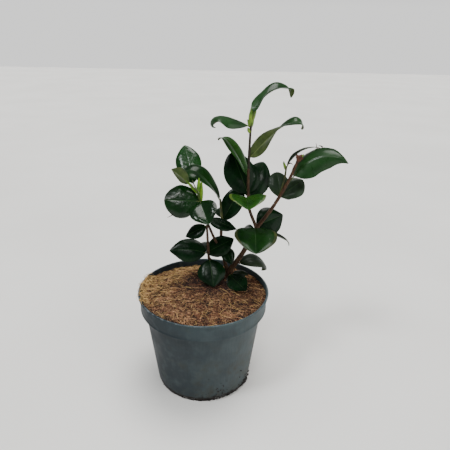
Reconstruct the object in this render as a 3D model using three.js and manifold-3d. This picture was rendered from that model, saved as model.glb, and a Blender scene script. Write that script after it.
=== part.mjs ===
// A young camellia shrub in a plastic nursery pot, in millimetres, +Z up.
// The origin is the centre of the pot's underside, +X is the plant's right seen from the front, +Y its back.
import * as THREE from 'three';
import Module from 'manifold-3d';
import { mergeVertices } from 'three/addons/utils/BufferGeometryUtils.js';

const wasm = await Module();
wasm.setup();

// Pot
const POT_HEIGHT = 148;
const RIM_RADIUS = 95;
const FOOT_RADIUS = 71;
const COLLAR_HEIGHT = 26;
const COLLAR_FOOT_RADIUS = 91.5;
const BODY_TOP_RADIUS = 85.5;
const WALL = 1.6;
const LIP_WIDTH = 3.2;
const LIP_DEPTH = 3;
const FOOT_STEP = 2;
const FOOT_STEP_HEIGHT = 3;
const FLOOR = 2;
const STEP_HEIGHT = POT_HEIGHT - COLLAR_HEIGHT;
const POT_SIDES = 48;
const SLOTS = 9;
const SLOT_WIDTH = 20;
const SLOT_HEIGHT = 5.5;
const SLOT_DEPTH = 16;
const FIRST_SLOT = 24.3;

// Coir mulch that fills the pot
const COIR_EDGE = 143.4;
const COIR_TILT = 3.8;
const COIR_HIGH_SIDE = 235;
const COIR_DOME = 7;
const COIR_LUMPS = 0.5;
const COIR_TOP = 136;
const COIR_RINGS = [80, 64, 48, 32, 16, 0];
const GROUND_PATCH = 16;

// Plant
const GROUND = 150;
const TRUNK_FOOT = new THREE.Vector3(31, 36, GROUND);
const ROOT_FLARE = 0.5;
const FLARE_REACH = 9;
const GAP = 0.3;
const LIMB_SIDES = 8;
const LIMB_STEP = 9;
const WALK_STEP = 3;
const STALK_SIDES = 6;
const STALK_RADIUS = 1;
const STALK_TAPER = 0.7;
const BUD_TIP_RADIUS = 0.35;
const BUD_ROWS = 5;
const SUNK = 6;
const BELOW_SIDE = 60;
const BELOW_DEPTH = 40;
const LEAF_THICKNESS = 0.8;
const FLAT_ROWS = 8;
const CURLED_ROWS = 14;
const LEAF_COLUMNS = 2;
const TIP_HALF_WIDTH = 0.4;
const MUCH_CURL = 40;
const HOOK_FROM = 0.8;
const DRIP_FROM = 0.72;

// Distances along the limbs where each bough ends and its foliage begins
const FORK_FROM = 89;
const RIGHT_FROM = 46;
const CENTRE_FROM = 39;
const TOP_FROM = 92.3;
const LEFT_FROM = 78;
const LOW_FROM = 36;
const SHOOT_FROM = 66;

// Leaf angles are told as a person in front of the plant sees them, looking down by this much
const VIEW_TILT = THREE.MathUtils.degToRad(23);
const RIGHT = new THREE.Vector3(1, 0, 0);
const UPWARD = new THREE.Vector3(0, Math.sin(VIEW_TILT), Math.cos(VIEW_TILT));
const NEARER = new THREE.Vector3(0, -Math.cos(VIEW_TILT), Math.sin(VIEW_TILT));

const rad = THREE.MathUtils.degToRad;

const finishes = {
  pot: new THREE.MeshStandardMaterial({ color: '#4d5a60', roughness: 0.55, metalness: 0 }),
  coir: new THREE.MeshStandardMaterial({ color: '#94653a', roughness: 0.95, metalness: 0 }),
  bark: new THREE.MeshStandardMaterial({ color: '#4f3a2c', roughness: 0.85, metalness: 0 }),
  leaf: new THREE.MeshStandardMaterial({ color: '#1f4a2c', roughness: 0.3, metalness: 0 }),
};

// Solids and meshes

function solidOf(geometry) {
  const plain = geometry.clone();
  plain.deleteAttribute('normal');
  plain.deleteAttribute('uv');
  const merged = mergeVertices(plain, 1e-4);
  return new wasm.Manifold(new wasm.Mesh({
    numProp: 3,
    vertProperties: new Float32Array(merged.attributes.position.array),
    triVerts: new Uint32Array(merged.index.array),
  }));
}

function meshOf(name, solid, finish) {
  const { vertProperties, triVerts } = solid.getMesh();
  const geometry = new THREE.BufferGeometry();
  geometry.setAttribute('position', new THREE.BufferAttribute(vertProperties, 3));
  geometry.setIndex(new THREE.BufferAttribute(triVerts, 1));
  geometry.computeVertexNormals();
  const mesh = new THREE.Mesh(geometry, finish);
  mesh.name = name;
  return mesh;
}

function join(solids) {
  return solids.reduce((whole, next) => whole.add(next));
}

function cut(solid, tools) {
  return tools.reduce((rest, tool) => rest.subtract(tool), solid);
}

// The largest shell of a solid: it fills the pockets that crossing leaves can close off
function largest(solid) {
  return solid.decompose().sort((a, b) => b.volume() - a.volume())[0];
}

// Moves every vertex of a closed three.js solid to where a rule puts it
function bend(geometry, rule) {
  const places = geometry.attributes.position;
  for (let i = 0; i < places.count; i += 1) {
    const place = rule(places.getX(i), places.getY(i), places.getZ(i));
    places.setXYZ(i, place.x, place.y, place.z);
  }
  return geometry;
}

// Stems

function heading(turn, rise) {
  const flat = Math.cos(rad(rise));
  return new THREE.Vector3(Math.cos(rad(turn)) * flat, Math.sin(rad(turn)) * flat, Math.sin(rad(rise)));
}

// A limb is a tapering path of one or more legs, each with a heading, a rise and a lift along its way
class Limb {
  constructor(foot, legs, thick, thin) {
    this.length = legs.reduce((sum, leg) => sum + leg.length, 0);
    this.thick = thick;
    this.thin = thin;
    this.points = [foot.clone()];
    for (const leg of legs) {
      const steps = Math.ceil(leg.length / WALK_STEP);
      for (let i = 0; i < steps; i += 1) {
        const step = heading(leg.turn, leg.rise + leg.lift * (i + 0.5) / steps);
        this.points.push(this.points.at(-1).clone().addScaledVector(step, leg.length / steps));
      }
    }
    this.curve = new THREE.CatmullRomCurve3(this.points);
  }

  at(distance) {
    const share = THREE.MathUtils.clamp(distance / this.length, 0, 1);
    const place = this.curve.getPointAt(share);
    return place.addScaledVector(this.along(distance), distance - share * this.length);
  }

  along(distance) {
    return this.curve.getTangentAt(THREE.MathUtils.clamp(distance / this.length, 0, 1));
  }

  radius(distance) {
    return this.thick + (this.thin - this.thick) * THREE.MathUtils.clamp(distance / this.length, 0, 1);
  }

  // The closed tube between two distances, made wider by `extra`, with an optional flare at its foot
  tube(from, to, extra = 0, flare = 0) {
    const steps = Math.max(2, Math.ceil((to - from) / LIMB_STEP));
    const rod = new THREE.CylinderGeometry(1, 1, 1, LIMB_SIDES, steps);
    return solidOf(bend(rod, (x, y, z) => {
      const distance = from + (to - from) * (y + 0.5);
      const along = this.along(distance);
      const side = RIGHT.clone().addScaledVector(along, -RIGHT.dot(along)).normalize();
      const other = side.clone().cross(along);
      const swell = 1 + flare * Math.exp(-Math.max(distance, 0) / FLARE_REACH);
      const radius = this.radius(distance) * swell + extra;
      return this.at(distance).addScaledVector(side, x * radius).addScaledVector(other, z * radius);
    }));
  }
}

const trunk = new Limb(TRUNK_FOOT, [{ turn: -14, rise: 54, lift: 16, length: 97 }], 4.2, 3);
const fork = trunk.at(trunk.length);
const right = new Limb(fork, [{ turn: -8, rise: 54, lift: 20, length: 120 }], 2.8, 1.8);
const centre = new Limb(fork, [
  { turn: -168, rise: 64, lift: 8, length: 36 },
  { turn: -150, rise: 86, lift: 7, length: 114 },
], 2.3, 1.5);
const left = new Limb(trunk.at(8), [
  { turn: 170, rise: 70, lift: 26, length: 88 },
  { turn: -160, rise: 82, lift: 4, length: 32 },
], 3, 1.5);
const low = new Limb(trunk.at(4), [
  { turn: -150, rise: 44, lift: 8, length: 46 },
  { turn: -105, rise: 78, lift: 4, length: 58 },
], 2.6, 1.5);
const shoot = new Limb(left.at(30), [{ turn: -136, rise: 58, lift: 16, length: 124 }], 2, 1.5);
const twig = new Limb(right.at(53), [{ turn: 26, rise: 66, lift: 24, length: 48 }], 1.6, 1.2);
const sproutFoot = new THREE.Vector3(36, 28, GROUND);
const sprout = new Limb(sproutFoot, [{ turn: -40, rise: 70, lift: 0, length: 7 }], 1.5, 1.2);
const spur = new Limb(trunk.at(29), [{ turn: -30, rise: 10, lift: 0, length: 9 }], 1.3, 1.1);
const inner = new Limb(left.at(46), [{ turn: -50, rise: 10, lift: 0, length: 8 }], 1.3, 1.1);

// Leaves and buds

function seen(aim, lean) {
  return RIGHT.clone().multiplyScalar(Math.cos(rad(aim)) * Math.cos(rad(lean)))
    .addScaledVector(UPWARD, Math.sin(rad(aim)) * Math.cos(rad(lean)))
    .addScaledVector(NEARER, Math.sin(rad(lean)));
}

const leafHabit = {
  curl: 8, hook: 0, power: 1, turning: 0, wave: 0, sway: 0, fold: -6, opening: 0, stalk: 3,
  widest: 0.46, blunt: 0.66, drip: 0.3, shift: [0, 0, 0],
};

function halfWidth(leaf, share) {
  const bulge = Math.log(0.5) / Math.log(leaf.widest);
  const swell = Math.sin(Math.PI * share ** bulge) ** leaf.blunt;
  const drip = 1 - leaf.drip * 0.9 * Math.max(0, (share - DRIP_FROM) / (1 - DRIP_FROM)) ** 1.2;
  const least = THREE.MathUtils.lerp(STALK_RADIUS * STALK_TAPER, TIP_HALF_WIDTH, share);
  return Math.max(leaf.width / 2 * swell * drip, least);
}

// The midrib's stations, each with the directions along, across and up from the upper face.
// curl droops it, hook droops its last fifth, sway bends it sideways, turning and wave twist it.
// fold raises both halves of the blade about it, and opening lets them down again towards the tip.
function midrib(foot, leaf) {
  const along = seen(leaf.aim, leaf.lean);
  const up = NEARER.clone().addScaledVector(along, -NEARER.dot(along)).normalize();
  up.applyAxisAngle(along, rad(leaf.roll));
  const across = up.clone().cross(along);
  const place = foot.clone().addScaledVector(along, leaf.stalk);
  const stations = [];
  for (let i = 0; i <= leaf.rows; i += 1) {
    stations.push({ place: place.clone(), across: across.clone(), up: up.clone(), along: along.clone() });
    const share = (i + 0.5) / leaf.rows;
    const late = share > HOOK_FROM ? 1 / (1 - HOOK_FROM) : 0;
    const droop = rad((leaf.curl * leaf.power * share ** (leaf.power - 1) + leaf.hook * late) / leaf.rows);
    along.applyAxisAngle(across, droop);
    up.applyAxisAngle(across, droop);
    const wave = leaf.wave * 2 * Math.PI * Math.cos(2 * Math.PI * share);
    const twist = rad((leaf.turning + wave) / leaf.rows);
    across.applyAxisAngle(along, twist);
    up.applyAxisAngle(along, twist);
    const bow = rad(leaf.sway / leaf.rows);
    along.applyAxisAngle(up, bow);
    across.applyAxisAngle(up, bow);
    place.addScaledVector(along, leaf.length / leaf.rows);
  }
  return stations;
}

// A straight stalk from one point to another
function rod(start, end, thick, thin) {
  const along = end.clone().sub(start).normalize();
  const span = start.distanceTo(end);
  const side = RIGHT.clone().cross(along);
  if (side.length() < 0.2) side.copy(UPWARD).cross(along);
  side.normalize();
  const other = side.clone().cross(along);
  const tube = new THREE.CylinderGeometry(1, 1, 1, STALK_SIDES, 1);
  return solidOf(bend(tube, (x, y, z) => {
    const radius = THREE.MathUtils.lerp(thick, thin, y + 0.5);
    return start.clone().addScaledVector(along, span * (y + 0.5))
      .addScaledVector(side, x * radius).addScaledVector(other, z * radius);
  }));
}

// A thin slab of rows along Y and columns along X, with both faces split along the same diagonals
function slabOf(rows, columns) {
  const places = [];
  for (const z of [-0.5, 0.5]) {
    for (let row = 0; row <= rows; row += 1) {
      for (let column = 0; column <= columns; column += 1) {
        places.push(column * 2 / columns - 1, row / rows - 0.5, z);
      }
    }
  }
  const below = (row, column) => row * (columns + 1) + column;
  const above = (row, column) => below(rows + 1 + row, column);
  const index = [];
  const quad = (a, b, c, d) => index.push(a, b, c, a, c, d);
  for (let row = 0; row < rows; row += 1) {
    const next = row + 1;
    for (let column = 0; column < columns; column += 1) {
      const beside = column + 1;
      quad(above(row, column), above(row, beside), above(next, beside), above(next, column));
      quad(below(row, column), below(next, column), below(next, beside), below(row, beside));
    }
    quad(below(next, 0), below(row, 0), above(row, 0), above(next, 0));
    quad(below(row, columns), below(next, columns), above(next, columns), above(row, columns));
  }
  for (let column = 0; column < columns; column += 1) {
    const beside = column + 1;
    quad(below(0, column), below(0, beside), above(0, beside), above(0, column));
    quad(below(rows, beside), below(rows, column), above(rows, column), above(rows, beside));
  }
  const slab = new THREE.BufferGeometry();
  slab.setAttribute('position', new THREE.Float32BufferAttribute(places, 3));
  slab.setIndex(index);
  return slab;
}

// A blade is such a slab bent along its midrib, with a stalk sunk into the limb
function leafOn(limb, distance, told) {
  const leaf = { ...leafHabit, ...told };
  leaf.rows = leaf.curl + leaf.hook > MUCH_CURL ? CURLED_ROWS : FLAT_ROWS;
  const foot = limb.at(distance).add(new THREE.Vector3(...leaf.shift));
  const stations = midrib(foot, leaf);
  const blade = solidOf(bend(slabOf(leaf.rows, LEAF_COLUMNS), (x, y, z) => {
    const row = Math.round((y + 0.5) * leaf.rows);
    const { place, across, up } = stations[row];
    const half = halfWidth(leaf, row / leaf.rows);
    const fold = rad(leaf.fold - leaf.opening * row / leaf.rows);
    const lift = Math.abs(x) * half * Math.sin(fold) + z * LEAF_THICKNESS;
    return place.clone().addScaledVector(across, -x * half * Math.cos(fold)).addScaledVector(up, lift);
  }));
  const rest = stations[1].place.clone();
  const stalk = rod(limb.at(distance), rest, STALK_RADIUS, STALK_RADIUS * STALK_TAPER);
  return blade.add(stalk);
}

// A bud is a spindle, thickest below its middle
function budOn(limb, distance, told) {
  const start = limb.at(distance);
  const along = seen(told.aim, told.lean);
  const side = NEARER.clone().cross(along).normalize();
  const other = side.clone().cross(along);
  const spindle = new THREE.CylinderGeometry(1, 1, 1, STALK_SIDES, BUD_ROWS);
  return solidOf(bend(spindle, (x, y, z) => {
    const share = y + 0.5;
    const radius = BUD_TIP_RADIUS + told.radius * Math.sin(Math.PI * share ** 0.75) ** 0.8;
    return start.clone().addScaledVector(along, told.length * share)
      .addScaledVector(side, x * radius).addScaledVector(other, z * radius);
  }));
}

const foliage = {
  fork: { stem: [trunk, FORK_FROM, trunk.length], growth: [
    leafOn(trunk, 95, { aim: -92, lean: 60, roll: 0, length: 56, width: 60, curl: 14, fold: 12,
      widest: 0.42, blunt: 0.56, drip: 0.1, shift: [-2, -6, 5] }),
    leafOn(trunk, 97, { aim: 24, lean: -10, roll: -8, length: 43, width: 42, shift: [-2, 0, 2] }),
    leafOn(trunk, 95, { aim: -14, lean: -20, roll: -68, length: 62, width: 18, curl: 14, hook: 50,
      fold: 20, blunt: 0.78 }),
    leafOn(trunk, 93, { aim: 205, lean: -52, roll: 30, length: 50, width: 30, curl: 20 }),
  ] },
  right: { stem: [right, RIGHT_FROM, right.length], growth: [
    twig.tube(0, twig.length),
    leafOn(right, 80, { aim: 63, lean: 0, roll: -45, length: 83, width: 43, curl: 28, sway: -98, hook: 10,
      fold: -24, turning: 30, stalk: 0, widest: 0.3, blunt: 0.56, drip: 0.8, shift: [9, 0, 10] }),
    leafOn(twig, 46, { aim: 64, lean: 0, roll: -72, length: 54, width: 17, curl: 64, fold: 14,
      blunt: 0.78, drip: 0.5 }),
    leafOn(right, 53, { aim: 97, lean: -10, roll: 6, length: 38, width: 30, widest: 0.58, blunt: 0.5,
      drip: 0, shift: [4, 0, 0] }),
    leafOn(right, 55, { aim: 40, lean: -6, roll: -24, length: 42, width: 34, curl: 12, widest: 0.55,
      blunt: 0.55, drip: 0.1 }),
    leafOn(right, 57, { aim: 40, lean: -58, roll: -20, length: 44, width: 26, curl: 12 }),
    budOn(right, 112, { aim: 62, lean: 24, length: 12, radius: 2.8 }),
    budOn(right, 116, { aim: 108, lean: 0, length: 7, radius: 1.8 }),
    budOn(right, 116, { aim: 20, lean: 0, length: 7, radius: 1.6 }),
    budOn(twig, 42, { aim: 106, lean: 0, length: 13, radius: 1.3 }),
  ] },
  centre_low: { stem: [centre, CENTRE_FROM, TOP_FROM - GAP], growth: [
    leafOn(centre, 80, { aim: 118, lean: 0, roll: 60, length: 72, width: 36, curl: 50, hook: 60, power: 4,
      fold: 10, wave: 6, stalk: 2, widest: 0.44, blunt: 0.6, drip: 0.1 }),
    leafOn(centre, 54, { aim: 111, lean: 0, roll: 8, length: 61, width: 45, blunt: 0.52, drip: 0 }),
    leafOn(centre, 54.5, { aim: 84, lean: -8, roll: -4, length: 42, width: 28, blunt: 0.55, drip: 0.1 }),
    leafOn(centre, 47, { aim: 69, lean: -8, roll: -6, length: 57, width: 40, curl: 10, blunt: 0.55,
      drip: 0.05 }),
    leafOn(centre, 47, { aim: -84, lean: 66, roll: -5, length: 40, width: 55, fold: 26, stalk: 4,
      blunt: 0.48, shift: [-3, 0, 4] }),
    leafOn(centre, 58, { aim: 95, lean: -52, roll: -10, length: 50, width: 30, curl: 26 }),
  ] },
  centre_top: { stem: [centre, TOP_FROM, centre.length], growth: [
    leafOn(centre, 149, { aim: 61, lean: 0, roll: -25, length: 84, width: 28, curl: 88, power: 1.3,
      hook: 76, fold: 25, opening: 10, turning: -45, wave: -25, stalk: 1, widest: 0.42, blunt: 0.62,
      shift: [2, 0, 17] }),
    leafOn(centre, 147, { aim: 153, lean: 0, roll: 42, length: 68, width: 40, curl: 220, power: 4.2,
      sway: 36, fold: -28, turning: 60, stalk: 4, widest: 0.5, blunt: 0.78, drip: 0.5 }),
    leafOn(centre, 105, { aim: 49, lean: 0, roll: -166, length: 100, width: 33, curl: 72, power: 2.8,
      hook: 84, sway: 4, fold: 6, turning: 146, stalk: 3, widest: 0.5, blunt: 0.5, drip: 0.1 }),
    budOn(centre, 145, { aim: 88, lean: 6, length: 29, radius: 3.1 }),
    budOn(centre, 146, { aim: 112, lean: 0, length: 12, radius: 1.3 }),
    budOn(centre, 139, { aim: 118, lean: 10, length: 8, radius: 1.7 }),
  ] },
  middle: { stem: [left, LEFT_FROM, left.length], growth: [
    leafOn(left, 83, { aim: 62, lean: 6, roll: -10, length: 61, width: 31, fold: 6, blunt: 0.7 }),
    leafOn(left, 117, { aim: 122, lean: 31, roll: 66, length: 84, width: 32, curl: 150, power: 3,
      fold: 30, opening: 40, turning: -10, widest: 0.62, blunt: 0.34, drip: 0.1 }),
    leafOn(left, 88, { aim: 78, lean: -52, roll: -10, length: 46, width: 27, curl: 20 }),
  ] },
  left: { stem: [shoot, SHOOT_FROM, shoot.length], growth: [
    leafOn(shoot, 77, { aim: -16, lean: 3, roll: -46, length: 42, width: 24, stalk: 4, blunt: 0.7 }),
    leafOn(shoot, 123, { aim: 104, lean: -15, roll: 4, length: 63, width: 37, fold: -8, stalk: 11,
      widest: 0.55, blunt: 0.6, drip: 0.15, shift: [-6, 31, -10] }),
    leafOn(shoot, 123, { aim: 139, lean: -10, roll: 125, length: 31, width: 28, fold: 14, stalk: 16,
      blunt: 0.7 }),
    leafOn(shoot, 106, { aim: 178, lean: 8, roll: 14, length: 47, width: 48, fold: -10, stalk: 2,
      widest: 0.5, blunt: 0.5, drip: 0 }),
    leafOn(shoot, 107, { aim: -68, lean: 46, roll: 2, length: 40, width: 39, curl: 26, fold: 12,
      stalk: 2 }),
    leafOn(shoot, 104, { aim: 165, lean: -55, roll: 30, length: 48, width: 30, curl: 22 }),
    budOn(shoot, 117, { aim: 131, lean: 0, length: 28, radius: 1.3 }),
    budOn(shoot, 103, { aim: 88, lean: 18, length: 30, radius: 2.1 }),
    budOn(shoot, 119, { aim: 86, lean: 6, length: 21, radius: 1.8 }),
  ] },
  low_left: { stem: [low, LOW_FROM, low.length], growth: [
    leafOn(low, 44, { aim: -79, lean: 26, roll: -6, length: 42, width: 41, curl: 10, fold: -8, stalk: 1 }),
    leafOn(low, 56, { aim: 29, lean: 0, roll: -16, length: 45, width: 31, fold: -8, stalk: 0,
      shift: [-3, 0, 0] }),
    leafOn(low, 54, { aim: 164, lean: 0, roll: 16, length: 54, width: 36, curl: 10, fold: -10, sway: 26,
      stalk: 4 }),
    leafOn(low, 103, { aim: 206, lean: 0, roll: 34, length: 32, width: 24, curl: 10, fold: -8, stalk: 2 }),
    leafOn(low, 60, { aim: 150, lean: -55, roll: 30, length: 44, width: 26, curl: 20 }),
  ] },
  foot: { stem: [sprout, -3, sprout.length], growth: [
    leafOn(sprout, 6, { aim: -36, lean: 56, roll: -20, length: 54, width: 29, curl: -4, fold: 8, stalk: 0 }),
    leafOn(sprout, 6, { aim: 12, lean: 10, roll: -60, length: 26, width: 18, curl: 20, fold: 6 }),
  ] },
  side: { stem: [spur, 1, spur.length], growth: [
    leafOn(spur, 7, { aim: 32, lean: 0, roll: -44, length: 68, width: 32, curl: 118, hook: 60, fold: -10,
      stalk: 0, blunt: 0.62, drip: 0.4 }),
  ] },
  inner: { stem: [inner, 1, inner.length], growth: [
    leafOn(inner, 6, { aim: -66, lean: 30, roll: -10, length: 30, width: 20, fold: 6, stalk: 2 }),
  ] },
};

// Pot and mulch

function potSolid() {
  const outline = [
    [0, 0],
    [FOOT_RADIUS - FOOT_STEP, 0],
    [FOOT_RADIUS - FOOT_STEP, FOOT_STEP_HEIGHT],
    [FOOT_RADIUS + 0.3, FOOT_STEP_HEIGHT + 1],
    [BODY_TOP_RADIUS, STEP_HEIGHT],
    [COLLAR_FOOT_RADIUS, STEP_HEIGHT + 1.2],
    [RIM_RADIUS - 1.2, POT_HEIGHT - LIP_DEPTH],
    [RIM_RADIUS, POT_HEIGHT - LIP_DEPTH * 0.6],
    [RIM_RADIUS - 0.3, POT_HEIGHT - 0.5],
    [RIM_RADIUS - 1.6, POT_HEIGHT],
    [RIM_RADIUS - LIP_WIDTH, POT_HEIGHT - 0.9],
    [COLLAR_FOOT_RADIUS - WALL, STEP_HEIGHT + 3],
    [BODY_TOP_RADIUS - WALL, STEP_HEIGHT + 1],
    [FOOT_RADIUS - FOOT_STEP - WALL, FLOOR],
    [0, FLOOR],
  ].map(([r, z]) => new THREE.Vector2(r, z));
  const shell = new THREE.LatheGeometry(outline, POT_SIDES).rotateX(Math.PI / 2);
  const slots = [];
  for (let i = 0; i < SLOTS; i += 1) {
    const slot = new THREE.BoxGeometry(SLOT_WIDTH, SLOT_DEPTH, SLOT_HEIGHT * 2);
    slot.translate(0, -FOOT_RADIUS, 0).rotateZ(rad(FIRST_SLOT + i * 360 / SLOTS));
    slots.push(solidOf(slot));
  }
  return cut(solidOf(shell), slots);
}

function coirHeight(x, y) {
  const angle = Math.atan2(y, x);
  const reach = Math.hypot(x, y) / (RIM_RADIUS - LIP_WIDTH);
  const edge = COIR_EDGE + COIR_TILT * reach * Math.cos(angle - rad(COIR_HIGH_SIDE));
  const lumps = COIR_LUMPS * (Math.sin(x * 0.31) * Math.cos(y * 0.27) + Math.sin((x + y) * 0.17));
  const height = edge + COIR_DOME * (1 - reach ** 2.2) + lumps * (1 - reach);
  const near = Math.hypot(x - TRUNK_FOOT.x, y - TRUNK_FOOT.y);
  const away = THREE.MathUtils.smoothstep(near, GROUND_PATCH, GROUND_PATCH * 2);
  return THREE.MathUtils.lerp(GROUND - GAP, height, away);
}

function coirSolid() {
  const clear = WALL + GAP * 2;
  const collar = COLLAR_FOOT_RADIUS - clear;
  const inner = [
    [0, FLOOR + GAP],
    [FOOT_RADIUS - FOOT_STEP - clear, FLOOR + GAP],
    [BODY_TOP_RADIUS - clear, STEP_HEIGHT + 1],
    [collar, STEP_HEIGHT + 3.3],
    [collar + 1.2, COIR_TOP - 0.5],
    [collar + 1.2, COIR_TOP],
    ...COIR_RINGS.map((r) => [r, COIR_TOP]),
  ].map(([r, z]) => new THREE.Vector2(r, z));
  const plug = new THREE.LatheGeometry(inner, POT_SIDES).rotateX(Math.PI / 2);
  return solidOf(bend(plug, (x, y, z) => new THREE.Vector3(x, y, z < COIR_TOP ? z : coirHeight(x, y))));
}

// Assembly

// The space under the stems' feet
const below = solidOf(new THREE.BoxGeometry(BELOW_SIDE, BELOW_SIDE, BELOW_DEPTH)
  .translate(TRUNK_FOOT.x, TRUNK_FOOT.y, GROUND - BELOW_DEPTH / 2));

// The same limbs made wider by the gap, for cutting whatever stands against them
const widened = {
  trunk: trunk.tube(-SUNK, FORK_FROM, GAP, ROOT_FLARE),
  right: right.tube(0, RIGHT_FROM, GAP),
  centre: centre.tube(0, CENTRE_FROM, GAP),
  left: left.tube(0, LEFT_FROM, GAP),
  low: low.tube(0, LOW_FROM, GAP),
  shoot: shoot.tube(0, SHOOT_FROM, GAP),
};
const knot = trunk.tube(FORK_FROM - GAP, trunk.length + GAP, GAP);

const limbs = {
  trunk: trunk.tube(-SUNK, FORK_FROM - GAP, 0, ROOT_FLARE).subtract(below),
  bough_right: cut(right.tube(0, RIGHT_FROM - GAP), [widened.trunk, knot]),
  bough_centre: cut(centre.tube(0, CENTRE_FROM - GAP), [widened.trunk, knot, widened.right]),
  bough_left: cut(left.tube(0, LEFT_FROM - GAP), [widened.trunk, below]),
  bough_low_left: cut(low.tube(0, LOW_FROM - GAP), [widened.trunk, widened.left, below]),
  bough_shoot: cut(shoot.tube(0, SHOOT_FROM - GAP), [widened.trunk, widened.left, widened.low]),
};

const plant = new THREE.Group();
plant.add(meshOf('pot', potSolid(), finishes.pot));
plant.add(meshOf('coir_mulch', coirSolid(), finishes.coir));
for (const [name, solid] of Object.entries(limbs)) {
  plant.add(meshOf(name, solid, finishes.bark));
}
for (const [name, { stem: [limb, from, to], growth }] of Object.entries(foliage)) {
  const mass = largest(cut(join([limb.tube(from, to), ...growth]), [...Object.values(widened), below]));
  plant.add(meshOf(`foliage_${name}`, mass, finishes.leaf));
}

export default plant;
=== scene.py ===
"""The looks of a young camellia shrub in a plastic nursery pot.

Lengths are in millimetres until a mesh is made, which is in metres. The origin is the centre of the pot's
underside, +X is the plant's right as seen from its front, +Y its back and +Z up.
"""

import logging
import math
from dataclasses import dataclass, field
from enum import Enum
from typing import Callable, Sequence

import bpy
import numpy as np
from mathutils import Matrix


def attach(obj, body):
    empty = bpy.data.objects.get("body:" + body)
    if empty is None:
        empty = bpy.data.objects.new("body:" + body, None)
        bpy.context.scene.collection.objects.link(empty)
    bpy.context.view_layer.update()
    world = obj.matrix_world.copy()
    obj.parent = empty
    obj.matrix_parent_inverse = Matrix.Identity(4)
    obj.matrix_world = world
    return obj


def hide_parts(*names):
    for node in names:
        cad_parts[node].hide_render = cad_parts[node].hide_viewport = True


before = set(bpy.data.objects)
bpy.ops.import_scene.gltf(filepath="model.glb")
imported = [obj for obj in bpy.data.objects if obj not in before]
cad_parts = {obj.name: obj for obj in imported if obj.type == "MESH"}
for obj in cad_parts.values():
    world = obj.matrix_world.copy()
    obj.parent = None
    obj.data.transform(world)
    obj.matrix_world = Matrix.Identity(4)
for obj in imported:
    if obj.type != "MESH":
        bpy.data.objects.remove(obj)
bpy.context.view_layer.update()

log = logging.getLogger("camellia")

MM = 0.001
SEED = 20
RIM_SEED = SEED + 50
SOIL_SEED = SEED + 60

# Heights and places that several pieces share
POT_HEIGHT = 148.0
RIM_RADIUS = 95.0
FOOT_RADIUS = 71.0
BODY_TOP_RADIUS = 85.5
COLLAR_HEIGHT = 26.0
GROUND = 150.0
TRUNK_FOOT = np.array([31.0, 36.0, GROUND])
# The middle of the painted shade that the leaves cast on the mulch
LEAF_SHADE_MIDDLE = (12.0, 13.0)

# Edges that turn more than this many degrees stay crisp
PLANT_CREASE = 40.0
POT_CREASE = 28.0
CRUMB_CREASE = 80.0
FIBRE_CREASE = 180.0

# The camera looks down at the plant by this much, and leaf angles are told as it sees them
VIEW_TILT = math.radians(23.0)
RIGHT = np.array([1.0, 0.0, 0.0])
UPWARD = np.array([0.0, math.sin(VIEW_TILT), math.cos(VIEW_TILT)])
NEARER = np.array([0.0, -math.cos(VIEW_TILT), math.sin(VIEW_TILT)])

# Leaf rule
HOOK_FROM = 0.8
DRIP_FROM = 0.72
TIP_HALF_WIDTH = 0.3
STALK_RADIUS = 1.0
STALK_TAPER = 0.7

Colour = tuple[float, float, float]
Relief = Callable[[np.ndarray, np.ndarray], np.ndarray]
Socket = bpy.types.NodeSocket


def unit(vector: np.ndarray) -> np.ndarray:
    """The vector, or each vector of a stack, at length one."""
    return vector / np.maximum(np.linalg.norm(vector, axis=-1, keepdims=True), 1e-9)


def turned(vector: np.ndarray, axis: np.ndarray, degrees: float) -> np.ndarray:
    """Turns a vector about an axis by the right-hand rule.

    Args:
        vector: What is turned.
        axis: The axis, at length one.
        degrees: How far.

    Returns:
        The turned vector.
    """
    angle = math.radians(degrees)
    along = axis * float(vector @ axis)
    return along + (vector - along) * math.cos(angle) + np.cross(axis, vector) * math.sin(angle)


def seen(aim: float, lean: float) -> np.ndarray:
    """The direction that looks aimed at an angle from the right, and leans towards the viewer.

    Args:
        aim: Degrees anticlockwise from the right, as seen from the front.
        lean: Degrees towards the viewer.

    Returns:
        The direction, at length one.
    """
    flat = math.cos(math.radians(lean))
    return (
        RIGHT * math.cos(math.radians(aim)) * flat
        + UPWARD * math.sin(math.radians(aim)) * flat
        + NEARER * math.sin(math.radians(lean))
    )


def heading(turn: float, rise: float) -> np.ndarray:
    """A direction told by its turn and its rise.

    Args:
        turn: Degrees from +X about +Z.
        rise: Degrees above the level.

    Returns:
        The direction, at length one.
    """
    flat = math.cos(math.radians(rise))
    return np.array([
        math.cos(math.radians(turn)) * flat,
        math.sin(math.radians(turn)) * flat,
        math.sin(math.radians(rise)),
    ])


def smooth_step(value: np.ndarray, low: float, high: float) -> np.ndarray:
    """Rises smoothly from 0 at low to 1 at high."""
    share = np.clip((value - low) / (high - low), 0.0, 1.0)
    return share * share * (3.0 - 2.0 * share)


def tube(line: np.ndarray, side: np.ndarray, other: np.ndarray, radius: np.ndarray, sides: int) -> np.ndarray:
    """Rings of points round a line.

    Args:
        line: The places along the line.
        side: One direction across it at each place, or one for all.
        other: The direction across both.
        radius: The half thickness at each place.
        sides: How many points a ring has.

    Returns:
        The rings as (ring, place in ring, xyz).
    """
    angles = np.arange(sides)[None, :, None] * 2.0 * math.pi / sides
    circle = np.atleast_2d(side)[:, None] * np.cos(angles) + np.atleast_2d(other)[:, None] * np.sin(angles)
    return line[:, None] + circle * radius[:, None, None]


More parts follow.
